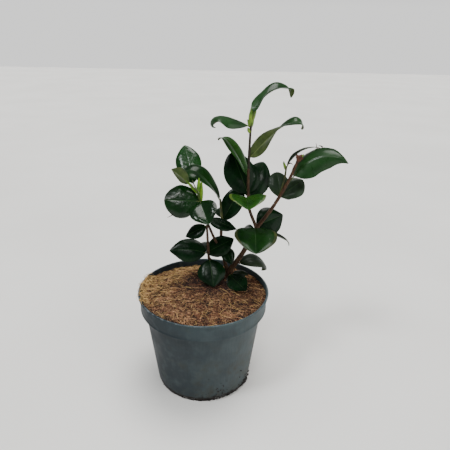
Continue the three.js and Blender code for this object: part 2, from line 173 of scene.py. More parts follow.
class Shells:
    """Gathers closed shells in millimetres, and turns them into one mesh in metres."""

    def __init__(self) -> None:
        """Starts with nothing gathered."""
        self.points: list[np.ndarray] = []
        self.faces: list[list[int]] = []
        self.slots: list[int] = []
        self.count = 0

    def add_sweep(self, rings: np.ndarray, slots: int | Sequence[int] = 0) -> None:
        """Adds a closed skin over rings of points, capped at both ends.

        Args:
            rings: Points as (ring, place in ring, xyz), each ring anticlockwise seen from the last one.
            slots: The material slot of the whole skin, or of each strip along it.
        """
        many, around = rings.shape[:2]
        strips = [slots] * around if isinstance(slots, int) else list(slots)
        base = self.count
        for ring in range(many - 1):
            low = base + ring * around
            for place in range(around):
                after = (place + 1) % around
                self.faces.append([low + place, low + after, low + around + after, low + around + place])
            self.slots.extend(strips)
        last = base + (many - 1) * around
        self.faces.append(list(range(base + around - 1, base - 1, -1)))
        self.faces.append(list(range(last, last + around)))
        self.slots.extend([strips[0], strips[0]])
        self.points.append(rings.reshape(-1, 3))
        self.count += many * around

    def piece(
        self, name: str, materials: Sequence[bpy.types.Material], sharp: float = PLANT_CREASE
    ) -> bpy.types.Object:
        """Makes the gathered shells into one object.

        Args:
            name: The piece's name.
            materials: Its materials, in slot order.
            sharp: Edges that turn more than this many degrees stay crisp.

        Returns:
            The object, linked into the scene.
        """
        mesh = bpy.data.meshes.new(name)
        mesh.from_pydata((np.concatenate(self.points) * MM).tolist(), [], self.faces)
        for material in materials:
            mesh.materials.append(material)
        mesh.polygons.foreach_set("material_index", np.array(self.slots, np.int32))
        mesh.polygons.foreach_set("use_smooth", np.ones(len(self.faces), bool))
        mesh.set_sharp_from_angle(angle=math.radians(sharp))
        mesh.validate()
        made = bpy.data.objects.new(name, mesh)
        bpy.context.scene.collection.objects.link(made)
        return made


def settle(piece: bpy.types.Object, slot: str, *nodes: str) -> bpy.types.Object:
    """Lets a finished piece ride on the plant and stand for its solids.

    Args:
        piece: The piece.
        slot: The name of a material slot; not used.
        nodes: The solids that it stands for.

    Returns:
        The same piece.
    """
    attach(piece, "root")
    if nodes:
        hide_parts(*nodes)
    faces = sum(len(polygon.vertices) - 2 for polygon in piece.data.polygons)
    log.info("%s: %d triangles", piece.name, faces)
    return piece


class Recipe:
    """A material's nodes, with short calls that add and join them."""

    def __init__(self, name: str) -> None:
        """Makes an empty material.

        Args:
            name: The material's name.
        """
        self.material = bpy.data.materials.new(name)
        self.material.use_nodes = True
        self.tree = self.material.node_tree
        self.shader = self.tree.nodes["Principled BSDF"]

    def add(self, kind: str, **settings: object) -> bpy.types.Node:
        """Adds a node.

        Args:
            kind: The node's type.
            settings: Its properties.

        Returns:
            The node.
        """
        node = self.tree.nodes.new(kind)
        for name, value in settings.items():
            setattr(node, name, value)
        return node

    def spot(self, stretch: Sequence[float] = (1.0, 1.0, 1.0)) -> Socket:
        """The place on the piece in metres.

        Args:
            stretch: What it is multiplied by along each axis.

        Returns:
            The socket of the place.
        """
        coordinates = self.add("ShaderNodeTexCoord")
        mapping = self.add("ShaderNodeMapping")
        mapping.inputs["Scale"].default_value = stretch
        self.tree.links.new(coordinates.outputs["Object"], mapping.inputs["Vector"])
        return mapping.outputs["Vector"]

    def noise(
        self, size: float, detail: float = 4.0, stretch: Sequence[float] = (1.0, 1.0, 1.0)
    ) -> Socket:
        """Soft cloudy noise.

        Args:
            size: The size of its clouds in millimetres.
            detail: How many finer layers it has.
            stretch: How much finer it is along each axis.

        Returns:
            The socket of its value, from 0 to 1.
        """
        node = self.add("ShaderNodeTexNoise")
        node.inputs["Scale"].default_value = 1.0 / (size * MM)
        node.inputs["Detail"].default_value = detail
        self.tree.links.new(self.spot(stretch), node.inputs["Vector"])
        return node.outputs["Fac"]

    def ramp(self, value: Socket, *stops: tuple[float, Colour]) -> Socket:
        """Turns a value into colours.

        Args:
            value: The value's socket.
            stops: Pairs of a value and the colour there, in rising order.

        Returns:
            The socket of the colour.
        """
        node = self.add("ShaderNodeValToRGB")
        band = node.color_ramp
        while len(band.elements) < len(stops):
            band.elements.new(1.0)
        for element, (position, colour) in zip(band.elements, stops):
            element.position = position
            element.color = (*colour, 1.0)
        self.tree.links.new(value, node.inputs["Fac"])
        return node.outputs["Color"]

    def mix(self, share: Socket, first: Socket, second: Socket) -> Socket:
        """Mixes two colours.

        Args:
            share: The socket of the second colour's share.
            first: The socket of the first colour.
            second: The socket of the second colour.

        Returns:
            The socket of the mixed colour.
        """
        node = self.add("ShaderNodeMix", data_type="RGBA")
        self.tree.links.new(share, node.inputs["Factor"])
        self.tree.links.new(first, node.inputs["A"])
        self.tree.links.new(second, node.inputs["B"])
        return node.outputs["Result"]

    def math(self, kind: str, first: Socket, second: Socket | float) -> Socket:
        """Works out one value from two.

        Args:
            kind: What is done with them.
            first: The socket of the first value.
            second: The socket of the second value, or a number.

        Returns:
            The socket of the result.
        """
        node = self.add("ShaderNodeMath", operation=kind)
        self.tree.links.new(first, node.inputs[0])
        if isinstance(second, float):
            node.inputs[1].default_value = second
        else:
            self.tree.links.new(second, node.inputs[1])
        return node.outputs[0]

    def range(self, value: Socket, low: float, high: float, start: float, end: float) -> Socket:
        """Maps a value from one range to another, and holds it there.

        Args:
            value: The value's socket.
            low: Where its own range starts.
            high: Where its own range ends.
            start: What low becomes.
            end: What high becomes.

        Returns:
            The socket of the new value.
        """
        node = self.add("ShaderNodeMapRange")
        for name, number in zip(("From Min", "From Max", "To Min", "To Max"), (low, high, start, end)):
            node.inputs[name].default_value = number
        self.tree.links.new(value, node.inputs["Value"])
        return node.outputs["Result"]

    def bump(self, height: Socket, depth: float, below: Socket | None = None) -> Socket:
        """Adds relief.

        Args:
            height: The socket of its height, from 0 to 1.
            depth: Its depth in millimetres.
            below: The normal of a coarser relief that it lies on.

        Returns:
            The socket of the normal.
        """
        node = self.add("ShaderNodeBump")
        node.inputs["Distance"].default_value = depth * MM
        self.tree.links.new(height, node.inputs["Height"])
        if below is not None:
            self.tree.links.new(below, node.inputs["Normal"])
        return node.outputs["Normal"]

    def join(self, **sockets: Socket) -> None:
        """Joins sockets to the shader's inputs, whose names have _ for a space."""
        for name, socket in sockets.items():
            self.tree.links.new(socket, self.shader.inputs[name.replace("_", " ")])

    def set(self, **values: float) -> None:
        """Sets constants on the shader's inputs, whose names have _ for a space."""
        for name, value in values.items():
            self.shader.inputs[name.replace("_", " ")].default_value = value


@dataclass(frozen=True)
class LeafFinish:
    """The waxy upper side of a leaf, mottled between two greens."""

    name: str
    deep: Colour
    bright: Colour
    roughness: float = 0.24
    coat: float = 0.3
    shine: float = 0.3
    pucker: float = 0.14
    pucker_size: float = 4.5
    cloud_size: float = 26.0
    smear_size: float = 9.0
    smear: tuple[float, float] = (-0.05, 0.09)
    pore_size: float = 0.7
    pore_depth: float = 0.015

    def material(self) -> bpy.types.Material:
        """Makes the waxy skin.

        Returns:
            The material.
        """
        recipe = Recipe(self.name)
        clouds = recipe.noise(self.cloud_size, 3.0)
        recipe.join(Base_Color=recipe.ramp(clouds, (0.34, self.deep), (0.68, self.bright)))
        glossiest, dullest = (self.roughness + part for part in self.smear)
        recipe.join(Roughness=recipe.range(recipe.noise(self.smear_size, 4.0), 0.3, 0.7, glossiest, dullest))
        pores = recipe.bump(recipe.noise(self.pore_size, 2.0), self.pore_depth)
        recipe.join(Normal=recipe.bump(recipe.noise(self.pucker_size, 2.0), self.pucker, pores))
        recipe.set(Coat_Weight=self.coat, Coat_Roughness=0.12, Specular_IOR_Level=self.shine, IOR=1.45)
        return recipe.material


@dataclass(frozen=True)
class DullLeafFinish:
    """A matt plant skin: a leaf's underside, a stalk, a midrib or a bud scale."""

    name: str
    deep: Colour
    bright: Colour
    roughness: float = 0.5
    grain: float = 1.6
    shine: float = 0.3
    cloud_size: float = 8.0
    grain_depth: float = 0.07

    def material(self) -> bpy.types.Material:
        """Makes the matt skin.

        Returns:
            The material.
        """
        recipe = Recipe(self.name)
        clouds = recipe.noise(self.cloud_size, 4.0)
        recipe.join(Base_Color=recipe.ramp(clouds, (0.32, self.deep), (0.7, self.bright)))
        recipe.join(Normal=recipe.bump(recipe.noise(self.grain, 3.0), self.grain_depth))
        recipe.set(Roughness=self.roughness, Specular_IOR_Level=self.shine, IOR=1.42)
        return recipe.material


@dataclass(frozen=True)
class BarkFinish:
    """Thin bark with fine lengthwise cracks and paler flakes."""

    name: str
    crack: Colour
    body: Colour
    flake: Colour
    roughness: float = 0.72
    crack_size: float = 1.5
    crack_stretch: tuple[float, float, float] = (1.0, 1.0, 0.22)
    crack_depth: float = 0.3
    patch_size: float = 9.0
    grain_size: float = 0.5
    grain_depth: float = 0.05

    def material(self) -> bpy.types.Material:
        """Makes the bark.

        Returns:
            The material.
        """
        recipe = Recipe(self.name)
        grain = recipe.noise(self.crack_size, 6.0, self.crack_stretch)
        patches = recipe.noise(self.patch_size, 4.0)
        body = recipe.ramp(grain, (0.3, self.crack), (0.5, self.body), (0.76, self.flake))
        tint = recipe.ramp(patches, (0.35, self.crack), (0.6, self.body))
        share = recipe.range(patches, 0.35, 0.7, 0.45, 0.05)
        recipe.join(Base_Color=recipe.mix(share, body, tint))
        cracks = recipe.bump(grain, self.crack_depth)
        recipe.join(Normal=recipe.bump(recipe.noise(self.grain_size, 3.0), self.grain_depth, cracks))
        recipe.set(Roughness=self.roughness, Specular_IOR_Level=0.25)
        return recipe.material


@dataclass(frozen=True)
class PlasticFinish:
    """Dull moulded plastic with cloudy stains, dust, and specks of soil near its foot."""

    name: str = "slate_plastic"
    body: Colour = (0.041, 0.055, 0.06)
    dust: Colour = (0.067, 0.086, 0.09)
    # shade darkens the streaks, and is also the colour of the painted shadow down the pot's left side
    shade: Colour = (0.007, 0.012, 0.017)
    stain: Colour = (0.036, 0.036, 0.026)
    soil: Colour = (0.002, 0.0016, 0.0012)
    crumb: Colour = (0.022, 0.015, 0.01)
    # The colour of the painted highlight along the rim's crest
    rim_highlight: Colour = (0.13, 0.15, 0.16)
    blue: Colour = (0.064, 0.104, 0.114)
    dirty_below: float = 26.0
    stained_below: float = 110.0
    # The lowest band, darkened with soil colour as painted shade under the foot and as grime, reaches up to
    # here
    shade_and_grime_below: float = 8.0
    tinted_above: float = 120.0
    highlight_above: float = 146.9
    shadow_reach: float = RIM_RADIUS * 0.8
    cloud_size: float = 38.0
    streak_size: float = 2.4
    streak_stretch: tuple[float, float, float] = (1.0, 1.0, 0.06)
    shadow_cloud_size: float = 12.0
    stain_size: float = 22.0
    mark_size: float = 9.0
    speck_size: float = 2.6
    dirt_size: float = 2.0
    band_wobble_size: float = 7.0
    highlight_edge_size: float = 5.0
    grain_size: float = 0.45
    dent_size: float = 14.0

    def material(self) -> bpy.types.Material:
        """Makes the plastic, and lays over it one by one its streaks, tint, painted shadow, stains, soil
        specks, painted shade at the foot and painted highlight on the rim.

        Returns:
            The material.
        """
        recipe = Recipe(self.name)
        clouds = recipe.noise(self.cloud_size, 4.0)
        colour = recipe.ramp(clouds, (0.36, self.body), (0.66, self.dust))
        parts = recipe.add("ShaderNodeSeparateXYZ")
        recipe.tree.links.new(recipe.spot(), parts.inputs["Vector"])
        lower = recipe.range(parts.outputs["Z"], 0.0, self.stained_below * MM, 0.16, -0.08)
        righter = recipe.range(parts.outputs["X"], -RIM_RADIUS * MM, RIM_RADIUS * MM, -0.1, 0.12)
        runs = recipe.noise(self.streak_size, 4.0, self.streak_stretch)
        streaks = recipe.range(runs, 0.35, 0.7, 0.0, 0.3)
        colour = recipe.mix(streaks, colour, recipe.ramp(clouds, (0.3, self.shade), (0.8, self.body)))
        tinted = recipe.range(parts.outputs["Z"], self.tinted_above * MM, POT_HEIGHT * MM, 0.0, 0.6)
        colour = recipe.mix(tinted, colour, recipe.ramp(clouds, (0.3, self.body), (0.6, self.blue)))
        # Painted shadow: the pot's left side is darkened towards the shade colour, fading out to the right
        painted_shadow = recipe.range(parts.outputs["X"], -self.shadow_reach * MM, self.shadow_reach * MM, 0.95, 0.0)
        dark = recipe.ramp(recipe.noise(self.shadow_cloud_size, 4.0), (0.5, self.shade), (0.95, self.body))
        colour = recipe.mix(painted_shadow, colour, dark)
        stained = recipe.math("ADD", recipe.math("ADD", recipe.noise(self.stain_size, 5.0), lower), righter)
        marks = recipe.ramp(recipe.noise(self.mark_size, 5.0), (0.35, self.body), (0.62, self.stain))
        colour = recipe.mix(recipe.range(stained, 0.5, 0.72, 0.0, 0.6), colour, marks)
        low = recipe.range(parts.outputs["Z"], 0.0, self.dirty_below * MM, 0.24, 0.0)
        dots = recipe.math("ADD", recipe.noise(self.speck_size, 3.0), low)
        specks = recipe.range(dots, 0.72, 0.8, 0.0, 0.85)
        dirt = recipe.ramp(recipe.noise(self.dirt_size, 2.0), (0.4, self.soil), (0.7, self.crumb))
        colour = recipe.mix(specks, colour, dirt)
        # Painted shade at the foot, partly grime: the lowest few millimetres darken to the soil colour, with
        # a ragged top edge
        band_wobble = recipe.range(recipe.noise(self.band_wobble_size, 4.0), 0.3, 0.7, 0.0, 2.0 * MM)
        uneven = recipe.math("SUBTRACT", parts.outputs["Z"], band_wobble)
        foot_shade_and_grime = recipe.range(uneven, self.shade_and_grime_below * 0.6 * MM, self.shade_and_grime_below * MM, 0.98, 0.0)
        colour = recipe.mix(foot_shade_and_grime, colour, dirt)
        # Painted highlight: the rim's crest is lightened towards a pale grey, with a ragged lower edge
        highlight_edge = recipe.range(recipe.noise(self.highlight_edge_size, 4.0), 0.35, 0.65, -1.2 * MM, 0.3 * MM)
        highlight_height = recipe.math("ADD", parts.outputs["Z"], highlight_edge)
        painted_highlight = recipe.range(highlight_height, self.highlight_above * MM, POT_HEIGHT * MM, 0.0, 0.75)
        pale = recipe.ramp(clouds, (0.3, self.dust), (0.6, self.rim_highlight))
        recipe.join(Base_Color=recipe.mix(painted_highlight, colour, pale))
        recipe.join(Roughness=recipe.range(clouds, 0.35, 0.7, 0.42, 0.62))
        grain = recipe.bump(recipe.noise(self.grain_size, 2.0), 0.02)
        recipe.join(Normal=recipe.bump(recipe.noise(self.dent_size, 2.0), 0.12, grain))
        recipe.set(Specular_IOR_Level=0.15)
        return recipe.material


@dataclass(frozen=True)
class CoirFinish:
    """A mat of coconut fibre, with a dark patch of painted shade round the stems, under the leaves."""

    name: str = "coir_mat"
    leaf_shade_reach: float = 44.0
    strand_sizes: tuple[float, float] = (1.3, 1.5)
    strand_stretch: float = 0.25
    strand_depth: float = 1.2
    patch_size: float = 17.0
    pale: Colour = (0.2, 0.1, 0.036)
    brown: Colour = (0.06, 0.025, 0.011)
    deep: Colour = (0.012, 0.005, 0.003)

    def material(self) -> bpy.types.Material:
        """Makes the mat's matted strands, darkened in random patches and by painted shade round the stems.

        Returns:
            The material.
        """
        recipe = Recipe(self.name)
        along = recipe.noise(self.strand_sizes[0], 5.0, (self.strand_stretch, 1.0, 1.0))
        across = recipe.noise(self.strand_sizes[1], 5.0, (1.0, self.strand_stretch, 1.0))
        strands = recipe.math("MAXIMUM", along, across)
        fibres = recipe.ramp(strands, (0.42, self.deep), (0.58, self.brown), (0.74, self.pale))
        # Painted shade of the leaves: round the stems, and in random patches, the strands darken towards
        # their deeper browns
        apart = recipe.add("ShaderNodeVectorMath", operation="DISTANCE")
        recipe.tree.links.new(recipe.spot(), apart.inputs[0])
        apart.inputs[1].default_value = [part * MM for part in (*LEAF_SHADE_MIDDLE, GROUND)]
        reach = self.leaf_shade_reach * MM
        leaf_shade = recipe.range(apart.outputs["Value"], reach * 0.4, reach, 0.9, 0.0)
        clouds = recipe.range(recipe.noise(self.patch_size, 4.0), 0.35, 0.7, 0.3, 0.0)
        patches = recipe.math("MAXIMUM", clouds, leaf_shade)
        shade = recipe.ramp(strands, (0.5, self.deep), (0.8, self.brown))
        recipe.join(Base_Color=recipe.mix(patches, fibres, shade))
        recipe.join(Normal=recipe.bump(strands, self.strand_depth))
        recipe.set(Roughness=0.95)
        return recipe.material


@dataclass(frozen=True)
class FibreFinish:
    """One shade of loose coconut fibre."""

    name: str
    shade: Colour
    light: Colour
    cloud_size: float = 4.0
    grain_size: float = 0.4
    grain_depth: float = 0.05

    def material(self) -> bpy.types.Material:
        """Makes the fibre's skin.

        Returns:
            The material.
        """
        recipe = Recipe(self.name)
        clouds = recipe.noise(self.cloud_size, 3.0)
        recipe.join(Base_Color=recipe.ramp(clouds, (0.35, self.shade), (0.65, self.light)))
        recipe.join(Normal=recipe.bump(recipe.noise(self.grain_size, 2.0), self.grain_depth))
        recipe.set(Roughness=0.8)
        return recipe.material


class Tint(Enum):
    """How old a leaf is, which gives its upper side's greens."""

    OLD = LeafFinish("leaf_old", (0.001, 0.007, 0.0022), (0.0035, 0.019, 0.005), 0.27, 0.05, 0.1)
    AGED = LeafFinish("leaf_aged", (0.009, 0.02, 0.009), (0.022, 0.042, 0.019), 0.36, 0.04, 0.14)
    GLOSSY = LeafFinish(
        "leaf_glossy", (0.0006, 0.009, 0.0012), (0.0025, 0.024, 0.003), 0.2, 0.14, 0.26, 0.6, 6.0
    )
    BRIGHT = LeafFinish(
        "leaf_bright", (0.0014, 0.02, 0.0024), (0.006, 0.045, 0.006), 0.2, 0.14, 0.26, 0.55, 6.0
    )
    FULL = LeafFinish("leaf_full", (0.005, 0.024, 0.005), (0.015, 0.052, 0.013), 0.28, 0.12, 0.18)
    FRESH = LeafFinish("leaf_fresh", (0.006, 0.036, 0.004), (0.02, 0.078, 0.008), 0.28, 0.14, 0.18)
    OLIVE = LeafFinish("leaf_bloom", (0.0015, 0.014, 0.002), (0.006, 0.038, 0.004), 0.3, 0.1, 0.16)
    DULL = LeafFinish("leaf_dull", (0.005, 0.012, 0.005), (0.014, 0.024, 0.01), 0.42, 0.05, 0.16)


class Skin(Enum):
    """The matt skins of a leaf and a bud."""

    UNDER = DullLeafFinish("leaf_under", (0.024, 0.044, 0.009), (0.058, 0.086, 0.019), 0.5, 1.6, 0.2)
    MIDRIB = DullLeafFinish("leaf_midrib", (0.008, 0.028, 0.008), (0.024, 0.058, 0.015), 0.42, 1.6, 0.2)
    RIB = DullLeafFinish("leaf_rib_below", (0.055, 0.09, 0.02), (0.1, 0.13, 0.035), 0.42)
    MARGIN = DullLeafFinish("leaf_margin", (0.03, 0.07, 0.01), (0.09, 0.14, 0.018), 0.36)
    OLIVE_MARGIN = DullLeafFinish("leaf_olive_margin", (0.012, 0.022, 0.006), (0.042, 0.052, 0.012), 0.36)
    DRY = DullLeafFinish("dry_hair", (0.012, 0.009, 0.006), (0.09, 0.06, 0.03), 0.7, 0.8)
    STALK = DullLeafFinish("leaf_stalk", (0.035, 0.055, 0.012), (0.09, 0.11, 0.025), 0.45)
    GREEN_BUD = DullLeafFinish("bud_green", (0.06, 0.14, 0.015), (0.18, 0.27, 0.035), 0.4, 0.8)
    YOUNG_BUD = DullLeafFinish("bud_young", (0.035, 0.11, 0.004), (0.16, 0.3, 0.014), 0.36, 0.8)
    BROWN_BUD = DullLeafFinish("bud_brown", (0.03, 0.009, 0.005), (0.12, 0.045, 0.022), 0.6, 0.8)


class Stem(Enum):
    """The barks of the stems, from the oldest to the youngest."""

    OLD = BarkFinish("bark_old", (0.01, 0.0045, 0.002), (0.046, 0.023, 0.011), (0.13, 0.078, 0.04))
    DARK = BarkFinish(
        "bark_dark", (0.005, 0.0035, 0.0015), (0.016, 0.011, 0.005), (0.045, 0.032, 0.015), 0.6
    )
    RED = BarkFinish("bark_red", (0.013, 0.0048, 0.0018), (0.048, 0.02, 0.0075), (0.135, 0.068, 0.03), 0.6)
    GREEN = BarkFinish("bark_green", (0.016, 0.02, 0.007), (0.05, 0.058, 0.016), (0.11, 0.12, 0.035), 0.55)
    YOUNG = BarkFinish("bark_young", (0.012, 0.024, 0.004), (0.045, 0.085, 0.012), (0.1, 0.16, 0.025), 0.5)


class Wardrobe:
    """Makes each finish's material once, when it is first asked for."""

    def __init__(self) -> None:
        """Starts empty."""
        self.made: dict[str, bpy.types.Material] = {}

    def of(self, finish: object) -> bpy.types.Material:
        """The material of a finish.

        Args:
            finish: The finish, or an Enum's member that holds one.

        Returns:
            The material, the same one each time.
        """
        wanted = finish.value if isinstance(finish, Enum) else finish
        if wanted.name not in self.made:
            self.made[wanted.name] = wanted.material()
        return self.made[wanted.name]


@dataclass(frozen=True)
class Leg:
    """One stretch of a limb: where it heads, how steeply it rises, and how much steeper it gets."""

    turn: float
    rise: float
    lift: float
    length: float


@dataclass
class Limb:
    """A tapering limb that follows one or more legs from its foot."""

    foot: np.ndarray
    legs: tuple[Leg, ...]
    thick: float
    thin: float
    step: float = 3.0
    blunt_end: float = 0.04
    points: np.ndarray = field(init=False)
    spans: np.ndarray = field(init=False)

    def __post_init__(self) -> None:
        """Walks along the legs."""
        points = [self.foot]
        for leg in self.legs:
            steps = math.ceil(leg.length / self.step)
            for number in range(steps):
                way = heading(leg.turn, leg.rise + leg.lift * (number + 0.5) / steps)
                points.append(points[-1] + way * leg.length / steps)
        self.points = np.array(points)
        gaps = np.linalg.norm(np.diff(self.points, axis=0), axis=1)
        self.spans = np.concatenate(([0.0], np.cumsum(gaps)))

    @property
    def length(self) -> float:
        """The whole length."""
        return float(self.spans[-1])

    def inside(self, distance: float) -> np.ndarray:
        """The point at a distance, held between the limb's ends."""
        return np.array([np.interp(distance, self.spans, self.points[:, axis]) for axis in range(3)])

    def along(self, distance: float) -> np.ndarray:
        """The direction at a distance."""
        middle = min(max(distance, self.step), self.length - self.step)
        return unit(self.inside(middle + self.step) - self.inside(middle - self.step))

    def at(self, distance: float) -> np.ndarray:
        """The point at a distance, which may lie beyond the limb's ends."""
        held = min(max(distance, 0.0), self.length)
        return self.inside(held) + self.along(held) * (distance - held)

    def radius(self, distance: float) -> float:
        """The half thickness at a distance."""
        return self.thick + (self.thin - self.thick) * min(max(distance / self.length, 0.0), 1.0)

    def rings(
        self, start: float, end: float, relief: Relief, sides: int = 24, step: float = 1.0
    ) -> np.ndarray:
        """Rings of points round the limb.

        Args:
            start: The distance where they start.
            end: The distance where they end.
            relief: What is added to the half thickness at stacks of distances and angles.
            sides: How many points a ring has.
            step: The distance between rings.

        Returns:
            The rings as (ring, place in ring, xyz).
        """
        distances = np.linspace(start, end, max(3, math.ceil((end - start) / step)))
        angles = np.arange(sides) * 2.0 * math.pi / sides
        rings = []
        for distance in distances:
            along = self.along(distance)
            side = unit(RIGHT - along * (RIGHT @ along))
            other = np.cross(along, side)
            reach = self.radius(distance) + relief(np.full(sides, distance), angles)
            left = max(self.blunt_end, (end - distance) / self.radius(distance))
            round_end = min(1.0, math.sqrt(left))
            circle = side * np.cos(angles)[:, None] + other * np.sin(angles)[:, None]
            rings.append(self.at(distance) + circle * (reach * round_end)[:, None])
        return np.array(rings)


@dataclass(frozen=True)
class Bark:
    """The relief of a stem: cracks along it, and a swollen ring at every joint and old leaf scar."""

    seed: int
    cracks: float = 0.1
    rings: float = 0.3
    spacing: float = 15.0
    collar: float = 0.3
    collar_reach: float = 3.0
    flare: float = 0.0
    flare_reach: float = 9.0
    roots: int = 4
    root_swell: float = 0.45
    scar_reach: float = 1.3
    scar_drift: float = 0.25
    first_scar: float = 0.6
    usual_radius: float = 3.0

    def relief(self, limb: Limb) -> Relief:
        """The relief as a function of distance and angle along one limb.

        Args:
            limb: The limb that it covers.

        Returns:
            The function that gives what is added to the half thickness.
        """
        rng = np.random.default_rng(SEED + self.seed)
        phases = rng.uniform(0.0, 2.0 * math.pi, 6)
        scars = np.arange(self.spacing * self.first_scar, limb.length, self.spacing)
        scars = scars + rng.uniform(-self.scar_drift, self.scar_drift, len(scars)) * self.spacing
        sides = rng.uniform(0.0, 2.0 * math.pi, len(scars))

        def rise(distance: np.ndarray, angle: np.ndarray) -> np.ndarray:
            """What the bark adds to the half thickness.

            Args:
                distance: How far along the limb.
                angle: The angle round it, in radians.

            Returns:
                The height of the relief.
            """
            # The cracks wander slowly round the limb, and short lumps lie across them
            drift = 1.4 * np.sin(distance * 0.13 + phases[0]) + 0.6 * np.sin(distance * 0.41 + phases[1])
            waves = np.sin(3.0 * angle + drift + phases[2]) * 0.9
            waves = waves + np.abs(np.sin(5.0 * angle - 0.7 * drift + phases[3])) * 1.1 - 0.7
            waves = waves + np.sin(distance * 1.9 + 2.0 * np.sin(2.0 * angle) + phases[4]) * 0.35
            total = self.cracks * waves * np.sqrt(limb.radius(float(distance[0])) / self.usual_radius)
            for place, side in zip(scars, sides):
                bulge = np.exp(-((distance - place) / self.scar_reach) ** 2)
                total = total + self.rings * bulge * (0.45 + 0.55 * np.cos(angle - side))
            held = np.maximum(distance, 0.0)
            total = total + limb.thick * self.collar * np.exp(-held / self.collar_reach)
            swell = 1.0 + self.root_swell * np.cos(self.roots * angle + phases[5])
            return total + limb.thick * self.flare * swell * np.exp(-held / self.flare_reach)

        return rise


@dataclass(frozen=True)
class Leaf:
    """One leaf: where it grows, which way it points, and how its blade bends.

    aim, lean and roll are told as the viewer sees them. curl droops the blade and hook droops its last
    fifth, sway bends it sideways, turning and wave twist it, fold raises both halves and opening lets them
    down again.
    """

    spot: float
    aim: float
    lean: float
    roll: float
    length: float
    width: float
    curl: float = 8.0
    hook: float = 0.0
    power: float = 1.0
    turning: float = 0.0
    wave: float = 0.0
    sway: float = 0.0
    fold: float = -6.0
    opening: float = 0.0
    stalk: float = 3.0
    widest: float = 0.46
    blunt: float = 0.66
    drip: float = 0.3
    shift: tuple[float, float, float] = (0.0, 0.0, 0.0)
    tint: Tint = Tint.OLD
    margin: Skin | None = None
    belly: float = 0.08
    ripple: float = 0.035


@dataclass(frozen=True)
class Bud:
    """One bud: where it grows, which way it points, its size and its skin."""

    spot: float
    aim: float
    lean: float
    length: float
    radius: float
    skin: Skin = Skin.GREEN_BUD


@dataclass(frozen=True)
class Hair:
    """A dry thread or scrap that clings to a leaf.

    leaf is the leaf's number in its spray, share the place along the blade, and reach the place across it,
    from -1 at one edge to 1 at the other. hook bends the hair from foot to tip.
    """

    leaf: int
    share: float
    reach: float
    aim: float
    lean: float
    length: float
    hook: float
    radius: float = 0.35
    taper: float = 0.7
    points: int = 10
    sides: int = 5


